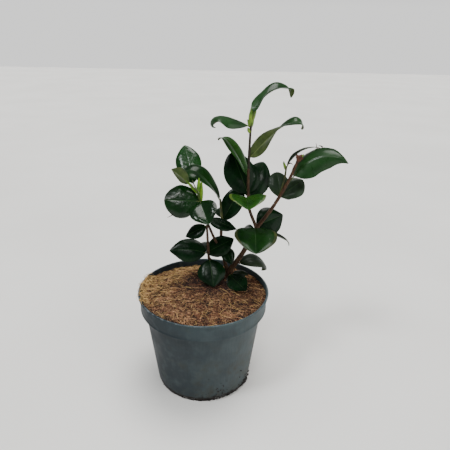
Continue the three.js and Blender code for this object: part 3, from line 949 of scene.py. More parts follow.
@dataclass
class LeafBlade:
    """Makes a leaf's mesh: a thin closed blade with midrib, side veins and toothed margin, on its stalk."""

    leaf: Leaf
    seed: int
    rows: int = 84
    thickness: float = 0.45
    groove: float = 0.2
    ridge: float = 0.6
    vein_depth: float = 0.1
    vein_pairs: float = 7.0
    vein_slant: float = 0.2
    vein_stray: float = 0.06
    vein_shift: float = 0.25
    vein_from: tuple[float, float] = (0.03, 0.15)
    vein_to: tuple[float, float] = (0.72, 0.97)
    groove_from: tuple[float, float] = (0.02, 0.12)
    ripples: tuple[float, float] = (1.4, 2.4)
    broad: float = 16.0
    tooth: float = 0.32
    tooth_pitch: float = 2.3
    tooth_from: float = 0.94
    crease_softness: float = 0.05
    edge_droop: float = 0.05
    rib_width: float = 0.8
    rib_taper: float = 0.65
    stalk_sides: int = 10
    stalk_points: int = 12
    stalk_swell: float = 0.5
    stalk_swell_reach: float = 0.16
    knee_share: float = 0.25
    knee_drop: float = 0.5
    columns: tuple[float, ...] = (0.0, 0.018, 0.06, 0.12, 0.22, 0.34, 0.47, 0.6, 0.73, 0.86, 0.94, 1.0)

    def spine(self, foot: np.ndarray) -> tuple[np.ndarray, np.ndarray, np.ndarray]:
        """Walks along the midrib.

        Args:
            foot: Where the stalk starts.

        Returns:
            The places, the directions across and the directions up from the upper side, row by row.
        """
        leaf = self.leaf
        along = seen(leaf.aim, leaf.lean)
        up = turned(unit(NEARER - along * (NEARER @ along)), along, leaf.roll)
        across = np.cross(up, along)
        place = foot + along * leaf.stalk
        places, acrosses, ups = [], [], []
        for row in range(self.rows + 1):
            places.append(place)
            acrosses.append(across)
            ups.append(up)
            share = (row + 0.5) / self.rows
            late = leaf.hook / (1.0 - HOOK_FROM) if share > HOOK_FROM else 0.0
            droop = (leaf.curl * leaf.power * share ** (leaf.power - 1.0) + late) / self.rows
            along, up = turned(along, across, droop), turned(up, across, droop)
            wave = leaf.wave * 2.0 * math.pi * math.cos(2.0 * math.pi * share)
            twist = (leaf.turning + wave) / self.rows
            across, up = turned(across, along, twist), turned(up, along, twist)
            bow = leaf.sway / self.rows
            along, across = turned(along, up, bow), turned(across, up, bow)
            place = place + along * leaf.length / self.rows
        return np.array(places), np.array(acrosses), np.array(ups)

    def half_width(self, share: np.ndarray) -> np.ndarray:
        """Half the blade's width, without the teeth.

        Args:
            share: Shares of the blade's length.

        Returns:
            Half the width at each of them.
        """
        leaf = self.leaf
        bulge = math.log(0.5) / math.log(leaf.widest)
        swell = np.maximum(np.sin(math.pi * share ** bulge), 0.0) ** leaf.blunt
        late = np.maximum(0.0, (share - DRIP_FROM) / (1.0 - DRIP_FROM))
        least = STALK_RADIUS * STALK_TAPER + (TIP_HALF_WIDTH - STALK_RADIUS * STALK_TAPER) * share
        return np.maximum(leaf.width / 2.0 * swell * (1.0 - leaf.drip * 0.9 * late ** 1.2), least)

    def rings(self, foot: np.ndarray) -> tuple[np.ndarray, list[Enum]]:
        """The blade's cross-sections.

        Args:
            foot: Where the stalk starts.

        Returns:
            The rings, upper side first, and the finish of each strip along them.
        """
        leaf = self.leaf
        rng = np.random.default_rng(SEED + self.seed)
        places, across, up = self.spine(foot)
        share = np.linspace(0.0, 1.0, self.rows + 1)[:, None]
        half = self.half_width(share)
        inner = np.array(self.columns)
        t = np.concatenate((-inner[:0:-1], inner))[None, :]
        reach = np.abs(t)
        teeth = (share * leaf.length / self.tooth_pitch) % 1.0
        teeth = self.tooth * teeth * np.sin(math.pi * share) * smooth_step(reach, self.tooth_from, 1.0)
        x = t * half + np.sign(t) * teeth
        fold = np.radians(leaf.fold - leaf.opening * share)
        crease = np.sqrt(reach ** 2 + self.crease_softness ** 2) - self.crease_softness
        body = np.sin(math.pi * share) ** 0.6
        height = crease * half * np.sin(fold)
        height = height + leaf.belly * half * np.sin(math.pi * reach ** 1.25) * body
        height = height - self.edge_droop * half * reach ** 4
        phase = rng.uniform(0.0, 2.0 * math.pi, 2)
        turns = rng.uniform(*self.ripples)
        side = np.where(t < 0.0, phase[0], phase[1])
        ripple = np.sin(2.0 * math.pi * turns * share + side)
        height = height + leaf.ripple * half * reach ** 2.5 * ripple * body
        slope = self.vein_slant + self.vein_stray * np.sign(t) * (rng.random() - 0.5)
        place = self.vein_pairs * (share - slope * reach ** 1.15) + self.vein_shift * np.sign(t)
        vein = (0.5 + 0.5 * np.cos(2.0 * math.pi * place)) ** 4 - 0.3
        fade = smooth_step(reach, *self.vein_from) * (1.0 - smooth_step(reach, *self.vein_to)) * body
        height = height - self.vein_depth * fade * vein * np.minimum(half / self.broad, 1.0)
        rib = np.exp(-((x / self.rib_width) ** 2)) * (1.0 - self.rib_taper * share)
        thin = self.thickness / 2.0 * (1.0 - reach ** 6)
        top = height + thin - self.groove * rib * smooth_step(share, *self.groove_from)
        bottom = height - thin - self.ridge * rib
        flat = x * np.cos(fold)

        def lay(level: np.ndarray) -> np.ndarray:
            """Lays a side of the blade at its height above the spine."""
            return places[:, None] - across[:, None] * flat[..., None] + up[:, None] * level[..., None]

        upper, lower = lay(top), lay(bottom)
        rings = np.concatenate((upper, lower[:, -2:0:-1]), axis=1)
        strips: list[Enum] = [leaf.tint] * (t.shape[1] - 1)
        middle = len(inner) - 1
        strips[middle - 1:middle + 1] = [Skin.MIDRIB] * 2
        if leaf.margin is not None:
            strips[:2] = [leaf.margin] * 2
            strips[-2:] = [leaf.margin] * 2
        below: list[Enum] = [Skin.UNDER] * (t.shape[1] - 1)
        below[middle - 2:middle + 2] = [Skin.RIB] * 4
        return rings[:, ::-1], (strips + below)[-2::-1] + [below[-1]]

    def hair_rings(self, foot: np.ndarray, hair: Hair) -> np.ndarray:
        """The rings of a dry hair on the blade.

        Args:
            foot: Where the stalk starts.
            hair: The hair.

        Returns:
            The rings as (ring, place in ring, xyz).
        """
        places, across, up = self.spine(foot)
        row = round(hair.share * self.rows)
        half = float(self.half_width(np.array(hair.share)))
        fold = math.radians(self.leaf.fold - self.leaf.opening * hair.share)
        out = -across[row] * hair.reach * half * math.cos(fold)
        start = places[row] + out + up[row] * abs(hair.reach) * half * math.sin(fold)
        share = np.linspace(0.0, 1.0, hair.points)
        along = np.array([seen(hair.aim + hair.hook * part, hair.lean) for part in share])
        line = start + np.cumsum(along, axis=0) * hair.length / hair.points
        side = unit(np.cross(along, NEARER))
        radius = hair.radius * (1.0 - hair.taper * share)
        return tube(line, side, np.cross(along, side), radius, hair.sides)

    def stalk_rings(self, start: np.ndarray, places: np.ndarray, up: np.ndarray) -> np.ndarray:
        """The stalk's rings, from inside the limb to under the midrib.

        Args:
            start: The point inside the limb.
            places: The midrib's places.
            up: The upper side's direction at the blade's foot.

        Returns:
            The rings as (ring, place in ring, xyz).
        """
        end = places[max(2, self.rows // 14)] - up * self.thickness
        knee = places[0] * (1.0 - self.knee_share) + start * self.knee_share - up * self.knee_drop
        share = np.linspace(0.0, 1.0, self.stalk_points)[:, None]
        line = start * (1.0 - share) ** 2 + knee * 2.0 * share * (1.0 - share) + end * share ** 2
        along = unit(np.gradient(line, axis=0))
        side = unit(np.cross(along, up))
        taper = 1.0 - (1.0 - STALK_TAPER) * share[:, 0]
        swell = 1.0 + self.stalk_swell * np.exp(-share[:, 0] / self.stalk_swell_reach)
        return tube(line, side, np.cross(along, side), STALK_RADIUS * taper * swell, self.stalk_sides)


@dataclass
class BudScales:
    """Makes a bud's mesh: a slim core wrapped in overlapping pointed scales."""

    bud: Bud
    seed: int
    scales: int = 7
    rows: int = 12
    halves: int = 5
    core_rows: int = 16
    core_sides: int = 12
    core_share: float = 0.92
    blunt_end: float = 0.3
    lowest_scale: float = 0.04
    scale_pitch: float = 0.075
    scale_length: float = 0.56
    highest: float = 0.99
    scale_turn: float = 2.4
    scale_width: float = 1.25
    scale_thickness: float = 0.09

    def frame(self) -> tuple[np.ndarray, np.ndarray, np.ndarray]:
        """The bud's own directions.

        Returns:
            The direction it points in, and two directions across it.
        """
        along = seen(self.bud.aim, self.bud.lean)
        side = unit(np.cross(NEARER, along))
        return along, side, np.cross(along, side)

    def bulk(self, share: np.ndarray) -> np.ndarray:
        """The bud's half thickness at each share of its length."""
        held = np.clip(share, 0.0, 1.0)
        return self.blunt_end + self.bud.radius * np.sin(math.pi * held ** 0.75) ** 0.8

    def core(self, start: np.ndarray) -> np.ndarray:
        """The core inside the scales.

        Args:
            start: The point in the stem where the bud starts.

        Returns:
            The rings as (ring, place in ring, xyz).
        """
        along, side, other = self.frame()
        share = np.linspace(0.0, 1.0, self.core_rows)
        line = start + along * (share * self.bud.length)[:, None]
        return tube(line, side, other, self.bulk(share) * self.core_share, self.core_sides)

    def scale(self, start: np.ndarray, number: int) -> np.ndarray:
        """The rings of one scale.

        Args:
            start: The point in the stem where the bud starts.
            number: Which scale, from the lowest up.

        Returns:
            The rings as (ring, place in ring, xyz).
        """
        along, side, other = self.frame()
        first = self.lowest_scale + self.scale_pitch * number
        share = np.linspace(0.0, 1.0, self.rows)[:, None]
        level = first + share * min(self.scale_length, self.highest - first)
        t = np.linspace(-1.0, 1.0, self.halves * 2 + 1)[None, :]
        spread = self.scale_width * np.sin(math.pi * np.clip(share, 0.02, 0.98) ** 0.55) ** 0.7
        angle = number * self.scale_turn + self.seed + t * spread
        lift = 0.1 + 0.07 * share + 0.3 * share ** 3 * (1.0 - t ** 2)
        thin = self.scale_thickness * (1.0 - t ** 4)
        out = side * np.cos(angle)[..., None] + other * np.sin(angle)[..., None]
        line = start + along * (level * self.bud.length)[..., None]
        outer = line + out * (self.bulk(level) + lift + thin)[..., None]
        inner = line + out * (self.bulk(level) + lift - thin)[..., None]
        return np.concatenate((outer, inner[:, -2:0:-1]), axis=1)


@dataclass
class Spray:
    """One mass of foliage: its stem, and the leaves and buds that grow on it."""

    name: str
    limb: Limb
    start: float
    end: float
    bark: Stem
    leaves: list[tuple[Limb, Leaf]]
    buds: list[tuple[Limb, Bud]] = field(default_factory=list)
    twigs: list[tuple[Limb, Stem]] = field(default_factory=list)
    hairs: list[Hair] = field(default_factory=list)
    twig_cracks: float = 0.05
    twig_rings: float = 0.22

    def build_leaves(self, wardrobe: Wardrobe, seed: int) -> bpy.types.Object:
        """Makes the leaves with their stalks as one piece.

        Args:
            wardrobe: Where the materials come from.
            seed: The number that the leaves' small differences start from.

        Returns:
            The piece.
        """
        shells = Shells()
        finishes: list[Enum] = [Skin.UNDER, Skin.MIDRIB, Skin.RIB, Skin.STALK, Skin.DRY]
        for number, (limb, leaf) in enumerate(self.leaves):
            own = [finish for finish in (leaf.tint, leaf.margin) if finish is not None]
            finishes.extend(finish for finish in own if finish not in finishes)
            blade = LeafBlade(leaf, seed + number)
            start = limb.at(leaf.spot)
            foot = start + np.array(leaf.shift)
            rings, strips = blade.rings(foot)
            shells.add_sweep(rings, [finishes.index(strip) for strip in strips])
            places, _, up = blade.spine(foot)
            shells.add_sweep(blade.stalk_rings(start, places, up[0]), finishes.index(Skin.STALK))
            for hair in self.hairs:
                if hair.leaf == number:
                    shells.add_sweep(blade.hair_rings(foot, hair), finishes.index(Skin.DRY))
        return shells.piece(f"leaves_{self.name}", [wardrobe.of(finish) for finish in finishes])

    def build_stems(self, wardrobe: Wardrobe, seed: int) -> bpy.types.Object:
        """Makes the stem and its twigs as one piece.

        Args:
            wardrobe: Where the materials come from.
            seed: The number that the bark's relief starts from.

        Returns:
            The piece.
        """
        shells = Shells()
        finishes = [self.bark]
        own = Bark(seed, self.twig_cracks, self.twig_rings, collar=0.0)
        shells.add_sweep(self.limb.rings(self.start, self.end, own.relief(self.limb)), 0)
        for number, (limb, bark) in enumerate(self.twigs):
            if bark not in finishes:
                finishes.append(bark)
            skin = Bark(seed + number + 1, self.twig_cracks, self.twig_rings)
            shells.add_sweep(limb.rings(0.0, limb.length, skin.relief(limb)), finishes.index(bark))
        return shells.piece(f"stems_{self.name}", [wardrobe.of(finish) for finish in finishes])

    def build_buds(self, wardrobe: Wardrobe, seed: int) -> bpy.types.Object:
        """Makes the buds as one piece.

        Args:
            wardrobe: Where the materials come from.
            seed: The number that the scales' places start from.

        Returns:
            The piece.
        """
        shells = Shells()
        finishes: list[Enum] = []
        for number, (limb, bud) in enumerate(self.buds):
            if bud.skin not in finishes:
                finishes.append(bud.skin)
            scales = BudScales(bud, seed + number)
            start = limb.at(bud.spot)
            slot = finishes.index(bud.skin)
            shells.add_sweep(scales.core(start), slot)
            for scale in range(scales.scales):
                shells.add_sweep(scales.scale(start, scale), slot)
        return shells.piece(f"buds_{self.name}", [wardrobe.of(finish) for finish in finishes])

    def build(self, wardrobe: Wardrobe, seed: int) -> None:
        """Makes and settles the spray's pieces.

        Args:
            wardrobe: Where the materials come from.
            seed: The number that the small differences of its parts start from.
        """
        node = f"foliage_{self.name}"
        settle(self.build_leaves(wardrobe, seed), "foliage", node)
        settle(self.build_stems(wardrobe, seed), "bark", node)
        if self.buds:
            settle(self.build_buds(wardrobe, seed), "foliage", node)


@dataclass
class Shrub:
    """The whole plant: its trunk and boughs, and the sprays that they carry."""

    trunk: Limb = field(init=False)
    right: Limb = field(init=False)
    centre: Limb = field(init=False)
    left: Limb = field(init=False)
    low: Limb = field(init=False)
    shoot: Limb = field(init=False)
    twig: Limb = field(init=False)
    sprout: Limb = field(init=False)
    spur: Limb = field(init=False)
    inner: Limb = field(init=False)
    sunk: float = 3.0
    bark_sides: int = 28
    seed_step: int = 100

    def __post_init__(self) -> None:
        """Grows the limbs, each from the one that carries it."""
        self.trunk = Limb(TRUNK_FOOT, (Leg(-14, 54, 16, 97),), 4.2, 3.0)
        fork = self.trunk.at(self.trunk.length)
        self.right = Limb(fork, (Leg(-8, 54, 20, 120),), 2.8, 1.8)
        self.centre = Limb(fork, (Leg(-168, 64, 8, 36), Leg(-150, 86, 7, 114)), 2.3, 1.5)
        self.left = Limb(self.trunk.at(8), (Leg(170, 70, 26, 88), Leg(-160, 82, 4, 32)), 3.0, 1.5)
        self.low = Limb(self.trunk.at(4), (Leg(-150, 44, 8, 46), Leg(-105, 78, 4, 58)), 2.6, 1.5)
        self.shoot = Limb(self.left.at(30), (Leg(-136, 58, 16, 124),), 2.0, 1.5)
        self.twig = Limb(self.right.at(53), (Leg(26, 66, 24, 48),), 1.6, 1.2)
        self.sprout = Limb(np.array([36.0, 28.0, GROUND]), (Leg(-40, 70, 0, 7),), 1.5, 1.2)
        self.spur = Limb(self.trunk.at(29), (Leg(-30, 10, 0, 9),), 1.3, 1.1)
        self.inner = Limb(self.left.at(46), (Leg(-50, 10, 0, 8),), 1.3, 1.1)

    def build_wood(self, wardrobe: Wardrobe) -> None:
        """Makes and settles the trunk and the boughs, with the bark's relief.

        Args:
            wardrobe: Where the materials come from.
        """
        parts = (
            ("trunk", self.trunk, -self.sunk, 92.0, Stem.OLD, Bark(1, 0.16, 0.3, 17.0, 0.0, flare=0.5)),
            ("bough_right", self.right, -1.5, 46.5, Stem.RED, Bark(2, 0.12, 0.3, 13.0)),
            ("bough_centre", self.centre, -1.5, 39.5, Stem.OLD, Bark(3, 0.1, 0.25, 12.0)),
            ("bough_left", self.left, -2.0, 78.5, Stem.OLD, Bark(4, 0.13, 0.3, 14.0)),
            ("bough_low_left", self.low, -2.0, 36.5, Stem.OLD, Bark(5, 0.12, 0.25, 13.0)),
            ("bough_shoot", self.shoot, -1.5, 66.5, Stem.OLD, Bark(6, 0.1, 0.25, 12.0)),
        )
        for name, limb, start, end, bark, skin in parts:
            shells = Shells()
            shells.add_sweep(limb.rings(start, end, skin.relief(limb), self.bark_sides))
            settle(shells.piece(f"{name}_bark", [wardrobe.of(bark)]), "bark", name)

    def sprays(self) -> list[Spray]:
        """The masses of foliage.

        Returns:
            Each spray with its leaves, buds, twigs and hairs.
        """
        trunk, right, centre, left = self.trunk, self.right, self.centre, self.left
        low, shoot, twig = self.low, self.shoot, self.twig
        return [
            Spray("fork", trunk, 89, 98.5, Stem.OLD, [
                (trunk, Leaf(95, -92, 60, 0, 56, 60, curl=14, fold=12, widest=0.42, blunt=0.56, drip=0.1,
                             shift=(-2, -6, 5), tint=Tint.OLIVE, margin=Skin.OLIVE_MARGIN)),
                (trunk, Leaf(97, 24, -10, -8, 43, 42, shift=(-2, 0, 2))),
                (trunk, Leaf(95, -14, -20, -68, 62, 18, curl=14, hook=50, fold=20, blunt=0.78,
                             tint=Tint.DULL)),
                (trunk, Leaf(93, 205, -52, 30, 50, 30, curl=20)),
            ]),
            Spray("right", right, 46, 120, Stem.RED, [
                (right, Leaf(80, 63, 0, -45, 83, 43, curl=28, sway=-98, hook=10, fold=-24, turning=30,
                             stalk=0, widest=0.3, blunt=0.56, drip=0.8, shift=(9, 0, 10), tint=Tint.FULL)),
                (twig, Leaf(46, 64, 0, -72, 54, 17, curl=64, fold=14, blunt=0.78, drip=0.5, tint=Tint.DULL)),
                (right, Leaf(53, 97, -10, 6, 38, 30, widest=0.58, blunt=0.5, drip=0, shift=(4, 0, 0),
                             tint=Tint.AGED)),
                (right, Leaf(55, 40, -6, -24, 42, 34, curl=12, widest=0.55, blunt=0.55, drip=0.1,
                             tint=Tint.AGED)),
                (right, Leaf(57, 40, -58, -20, 44, 26, curl=12)),
            ], [
                (right, Bud(112, 62, 24, 12, 3.0, Skin.BROWN_BUD)),
                (right, Bud(116, 108, 0, 7, 2.0, Skin.BROWN_BUD)),
                (right, Bud(116, 20, 0, 7, 1.8, Skin.BROWN_BUD)),
                (right, Bud(117, 40, 10, 9, 1.2)),
                (twig, Bud(42, 106, 0, 13, 1.3)),
            ], [(twig, Stem.GREEN)], [
                Hair(0, 0.5, -0.98, 98, 6, 8, 10, 0.8),
                Hair(0, 0.57, -0.98, 120, 6, 7, 70, 1.2),
                Hair(0, 0.47, -0.98, 24, 4, 9, -16, 0.6),
                Hair(0, 0.57, -0.99, 2, 4, 10, -16, 0.8),
                Hair(0, 0.54, -0.99, 160, 10, 7, 30, 0.7),
                Hair(1, 0.05, 0.3, 40, 6, 7, -100, 1.1),
            ]),
            Spray("centre_low", centre, 39, 92, Stem.OLD, [
                (centre, Leaf(80, 118, 0, 60, 72, 36, curl=50, hook=60, power=4, fold=10, wave=6, stalk=2,
                              widest=0.44, blunt=0.6, drip=0.1, tint=Tint.FRESH)),
                (centre, Leaf(54, 111, 0, 8, 61, 45, blunt=0.52, drip=0)),
                (centre, Leaf(54.5, 84, -8, -4, 42, 28, blunt=0.55, drip=0.1)),
                (centre, Leaf(47, 69, -8, -6, 57, 40, curl=10, blunt=0.55, drip=0.05)),
                (centre, Leaf(47, -84, 66, -5, 40, 55, fold=26, stalk=4, blunt=0.48, shift=(-3, 0, 4),
                              tint=Tint.FRESH, margin=Skin.MARGIN)),
                (centre, Leaf(58, 95, -52, -10, 50, 30, curl=26)),
            ]),
            Spray("centre_top", centre, 92, 150, Stem.DARK, [
                (centre, Leaf(149, 61, 0, -25, 84, 28, curl=88, power=1.3, hook=76, fold=25, opening=10,
                              turning=-45, wave=-25, stalk=1, widest=0.42, blunt=0.62, shift=(2, 0, 17),
                              tint=Tint.FULL)),
                (centre, Leaf(147, 153, 0, 42, 68, 40, curl=220, power=4.2, sway=36, fold=-28, turning=60,
                              stalk=4, widest=0.5, blunt=0.78, drip=0.5, tint=Tint.FULL)),
                (centre, Leaf(105, 49, 0, -166, 100, 33, curl=72, power=2.8, hook=84, sway=4, fold=6,
                              turning=146, stalk=3, widest=0.5, blunt=0.5, drip=0.1, tint=Tint.FULL)),
            ], [
                (centre, Bud(145, 88, 6, 29, 3.3)),
                (centre, Bud(152, 74, 0, 24, 2.2)),
                (centre, Bud(146, 112, 0, 12, 1.5)),
                (centre, Bud(139, 118, 10, 8, 1.9)),
            ]),
            Spray("middle", left, 78, 120, Stem.GREEN, [
                (left, Leaf(83, 62, 6, -10, 61, 31, fold=6, blunt=0.7)),
                (left, Leaf(117, 122, 31, 66, 84, 32, curl=150, power=3, fold=30, opening=40, turning=-10,
                            widest=0.62, blunt=0.34, drip=0.1, tint=Tint.OLIVE)),
                (left, Leaf(88, 78, -52, -10, 46, 27, curl=20)),
            ]),
            Spray("left", shoot, 66, 124, Stem.YOUNG, [
                (shoot, Leaf(77, -16, 3, -46, 42, 24, stalk=4, blunt=0.7)),
                (shoot, Leaf(123, 104, -15, 4, 63, 37, fold=-8, stalk=11, widest=0.55, blunt=0.6,
                             drip=0.15, shift=(-6, 31, -10), tint=Tint.BRIGHT)),
                (shoot, Leaf(123, 139, -10, 125, 31, 28, fold=14, stalk=16, blunt=0.7, tint=Tint.FRESH)),
                (shoot, Leaf(106, 178, 8, 14, 47, 48, fold=-10, stalk=2, widest=0.5, blunt=0.5, drip=0,
                             tint=Tint.GLOSSY)),
                (shoot, Leaf(107, -68, 46, 2, 40, 39, curl=26, fold=12, stalk=2, tint=Tint.GLOSSY)),
                (shoot, Leaf(104, 165, -55, 30, 48, 30, curl=22)),
            ], [
                (shoot, Bud(117, 131, 0, 28, 1.5, Skin.YOUNG_BUD)),
                (shoot, Bud(103, 88, 18, 30, 2.3, Skin.YOUNG_BUD)),
                (shoot, Bud(119, 86, 6, 21, 2.0, Skin.YOUNG_BUD)),
            ], hairs=[Hair(3, 0.74, -0.97, 214, 0, 8, -12, 0.8)]),
            Spray("low_left", low, 36, 104, Stem.OLD, [
                (low, Leaf(44, -79, 26, -6, 42, 41, curl=10, fold=-8, stalk=1)),
                (low, Leaf(56, 29, 0, -16, 45, 31, fold=-8, stalk=0, shift=(-3, 0, 0))),
                (low, Leaf(54, 164, 0, 16, 54, 36, curl=10, fold=-10, sway=26, stalk=4)),
                (low, Leaf(103, 206, 0, 34, 32, 24, curl=10, fold=-8, stalk=2)),
                (low, Leaf(60, 150, -55, 30, 44, 26, curl=20)),
            ]),
            Spray("foot", self.sprout, -3, 7, Stem.RED, [
                (self.sprout, Leaf(6, -36, 56, -20, 54, 29, curl=-4, fold=8, stalk=0)),
                (self.sprout, Leaf(6, 12, 10, -60, 26, 18, curl=20, fold=6, tint=Tint.DULL)),
            ]),
            Spray("side", self.spur, 1, 9, Stem.RED, [
                (self.spur, Leaf(7, 32, 0, -44, 68, 32, curl=118, hook=60, fold=-10, stalk=0, blunt=0.62,
                                 drip=0.4, tint=Tint.DULL)),
            ]),
            Spray("inner", self.inner, 1, 8, Stem.RED, [
                (self.inner, Leaf(6, -66, 30, -10, 30, 20, fold=6, stalk=2)),
            ]),
        ]

    def build(self, wardrobe: Wardrobe) -> None:
        """Makes the wood, then each spray.

        Args:
            wardrobe: Where the materials come from.
        """
        self.build_wood(wardrobe)
        for number, spray in enumerate(self.sprays()):
            spray.build(wardrobe, self.seed_step * (number + 1))


@dataclass
class Pot:
    """The nursery pot: a tapered wall under a collar with a rolled lip, and drainage slots at its foot."""

    height: float = POT_HEIGHT
    rim_radius: float = RIM_RADIUS
    foot_radius: float = FOOT_RADIUS
    collar_height: float = COLLAR_HEIGHT
    collar_foot_radius: float = 91.5
    body_top_radius: float = BODY_TOP_RADIUS
    wall: float = 1.6
    lip_radius: float = 1.6
    lip_width: float = 3.2
    lip_turns: tuple[float, float] = (-75.0, 165.0)
    lip_points: int = 13
    bead: float = 0.8
    foot_step: float = 2.0
    foot_step_height: float = 3.0
    floor: float = 2.0
    middle: float = 0.5
    edge: float = 0.6
    foot_edge: float = 1.2
    sides: int = 192
    slots: int = 9
    slot_width: float = 20.0
    slot_height: float = 5.5
    slot_depth: float = 16.0
    first_slot: float = 24.3
    side_shares: tuple[float, ...] = (0.02, 0.05, 0.1, 0.25, 0.5, 0.75)
    finish: PlasticFinish = PlasticFinish()

    def outline(self) -> np.ndarray:
        """The wall's outline, from the underside's middle out and up to the lip, and down inside.

        The small steps between its places round the edges off.

        Returns:
            Places as (radius, height).
        """
        step = self.height - self.collar_height
        turns = np.radians(np.linspace(*self.lip_turns, self.lip_points))
        lip_middle = (self.rim_radius - self.lip_radius, self.height - self.lip_radius)
        crest = np.stack((np.cos(turns), np.sin(turns)), axis=1)
        lip = (np.array(lip_middle) + crest * self.lip_radius).tolist()
        inset = self.foot_radius - self.foot_step
        points = [
            (self.middle, 0.0),
            (inset - 0.8, 0.0),
            (inset - 0.2, 0.2),
            (inset, 0.8),
            (inset, self.foot_step_height - 0.4),
            (inset + 0.4, self.foot_step_height + 0.1),
            (self.foot_radius - 0.4, self.foot_step_height + 0.5),
            (self.foot_radius, self.foot_step_height + self.foot_edge),
            *self.side(step),
            (self.body_top_radius, step - self.edge),
            (self.body_top_radius + self.edge, step),
            (self.collar_foot_radius - 1.2, step + 0.1),
            (self.collar_foot_radius - 0.3, step + 0.5),
            (self.collar_foot_radius + self.bead, step + 1.3),
            (self.collar_foot_radius + self.bead, step + 2.3),
            (self.collar_foot_radius + self.bead * 0.4, step + 3.1),
            (self.collar_foot_radius + 0.2, step + 4.0),
            (self.rim_radius - 1.5, self.height - self.lip_radius * 2.0),
            *lip,
            (self.rim_radius - self.lip_width, self.height - self.lip_radius),
            (self.collar_foot_radius - self.wall, step + 3.2),
            (self.body_top_radius - self.wall, step + 1.2),
            (inset - self.wall, self.floor),
            (self.middle, self.floor),
        ]
        return np.array(points)

    def side(self, step: float) -> list[tuple[float, float]]:
        """The straight wall between the foot and the collar.

        Args:
            step: The height of the collar's step.

        Returns:
            Places as (radius, height).
        """
        start = self.foot_step_height + self.foot_edge
        span = step - self.edge - start
        spread = self.body_top_radius - self.foot_radius
        return [(self.foot_radius + spread * share, start + span * share) for share in self.side_shares]

    def build(self) -> bpy.types.Object:
        """Turns the outline about the pot's axis and cuts the slots.

        Returns:
            The pot, still without its plastic.
        """
        angles = np.arange(self.sides) * 2.0 * math.pi / self.sides
        outline = self.outline()
        circle = np.stack((np.cos(angles), np.sin(angles), np.zeros(self.sides)), axis=1)
        rings = circle[None] * outline[:, 0, None, None]
        rings[..., 2] = outline[:, 1, None]
        shells = Shells()
        shells.add_sweep(rings)
        pot = shells.piece("pot_wall", [], POT_CREASE)
        cutter = self.cutter()
        cut = pot.modifiers.new("slots", "BOOLEAN")
        cut.operation = "DIFFERENCE"
        cut.solver = "EXACT"
        cut.object = cutter
        bpy.context.view_layer.update()
        cut_mesh = bpy.data.meshes.new_from_object(pot.evaluated_get(bpy.context.evaluated_depsgraph_get()))
        pot.modifiers.clear()
        pot.data = cut_mesh
        bpy.data.objects.remove(cutter)
        return pot

    def cutter(self) -> bpy.types.Object:
        """Makes the blocks that cut the drainage slots.

        Returns:
            The blocks as one piece.
        """
        shells = Shells()
        size = np.array([self.slot_width, self.slot_depth])
        corners = np.array([(-1, -1), (1, -1), (1, 1), (-1, 1)]) * size / 2.0
        for number in range(self.slots):
            angle = math.radians(self.first_slot + number * 360.0 / self.slots)
            turn = np.array([[math.cos(angle), math.sin(angle)], [-math.sin(angle), math.cos(angle)]])
            square = (corners + np.array([0.0, -self.foot_radius])) @ turn
            levels = (-self.slot_height, self.slot_height)
            shells.add_sweep(np.array([[(x, y, z) for x, y in square] for z in levels]))
        return shells.piece("slot_blocks", [])

    def dress(self, pot: bpy.types.Object, wardrobe: Wardrobe) -> None:
        """Gives the pot its plastic and settles it.

        Args:
            pot: The pot's piece.
            wardrobe: Where the material comes from.
        """
        pot.data.materials.clear()
        pot.data.materials.append(wardrobe.of(self.finish))
        settle(pot, "pot_plastic", "pot")


class Zone(Enum):
    """Where on the mulch a lot of fibres lies thickest."""

    GOLD = "gold"
    BROWN = "brown"
    # Where the painted shade under the leaves lies
    IN_SHADE = "leaf_shade"


class Fibre(Enum):
    """The shades of the coconut fibre."""

    STRAW = FibreFinish("fibre_straw", (0.32, 0.185, 0.055), (0.66, 0.44, 0.175))
    GOLD = FibreFinish("fibre_gold", (0.16, 0.085, 0.026), (0.34, 0.2, 0.075))
    TAN = FibreFinish("fibre_tan", (0.27, 0.138, 0.062), (0.66, 0.38, 0.19))
    RED = FibreFinish("fibre_red", (0.1, 0.038, 0.018), (0.25, 0.1, 0.048))
    DARK = FibreFinish("fibre_dark", (0.007, 0.003, 0.002), (0.028, 0.011, 0.006))
    # Near black fibres laid as painted shade under the leaves
    IN_SHADE = FibreFinish("fibre_in_shade", (0.014, 0.006, 0.005), (0.06, 0.024, 0.015))
    RUST = FibreFinish("fibre_rust", (0.09, 0.034, 0.018), (0.2, 0.085, 0.045))


@dataclass(frozen=True)
class FibreLot:
    """One lot of loose fibres of one shade.

    count is how many are tried, thick their mean half thickness, and lift how high the highest bow up.
    """

    count: int
    zone: Zone
    thick: float
    lift: float
    shade: Fibre


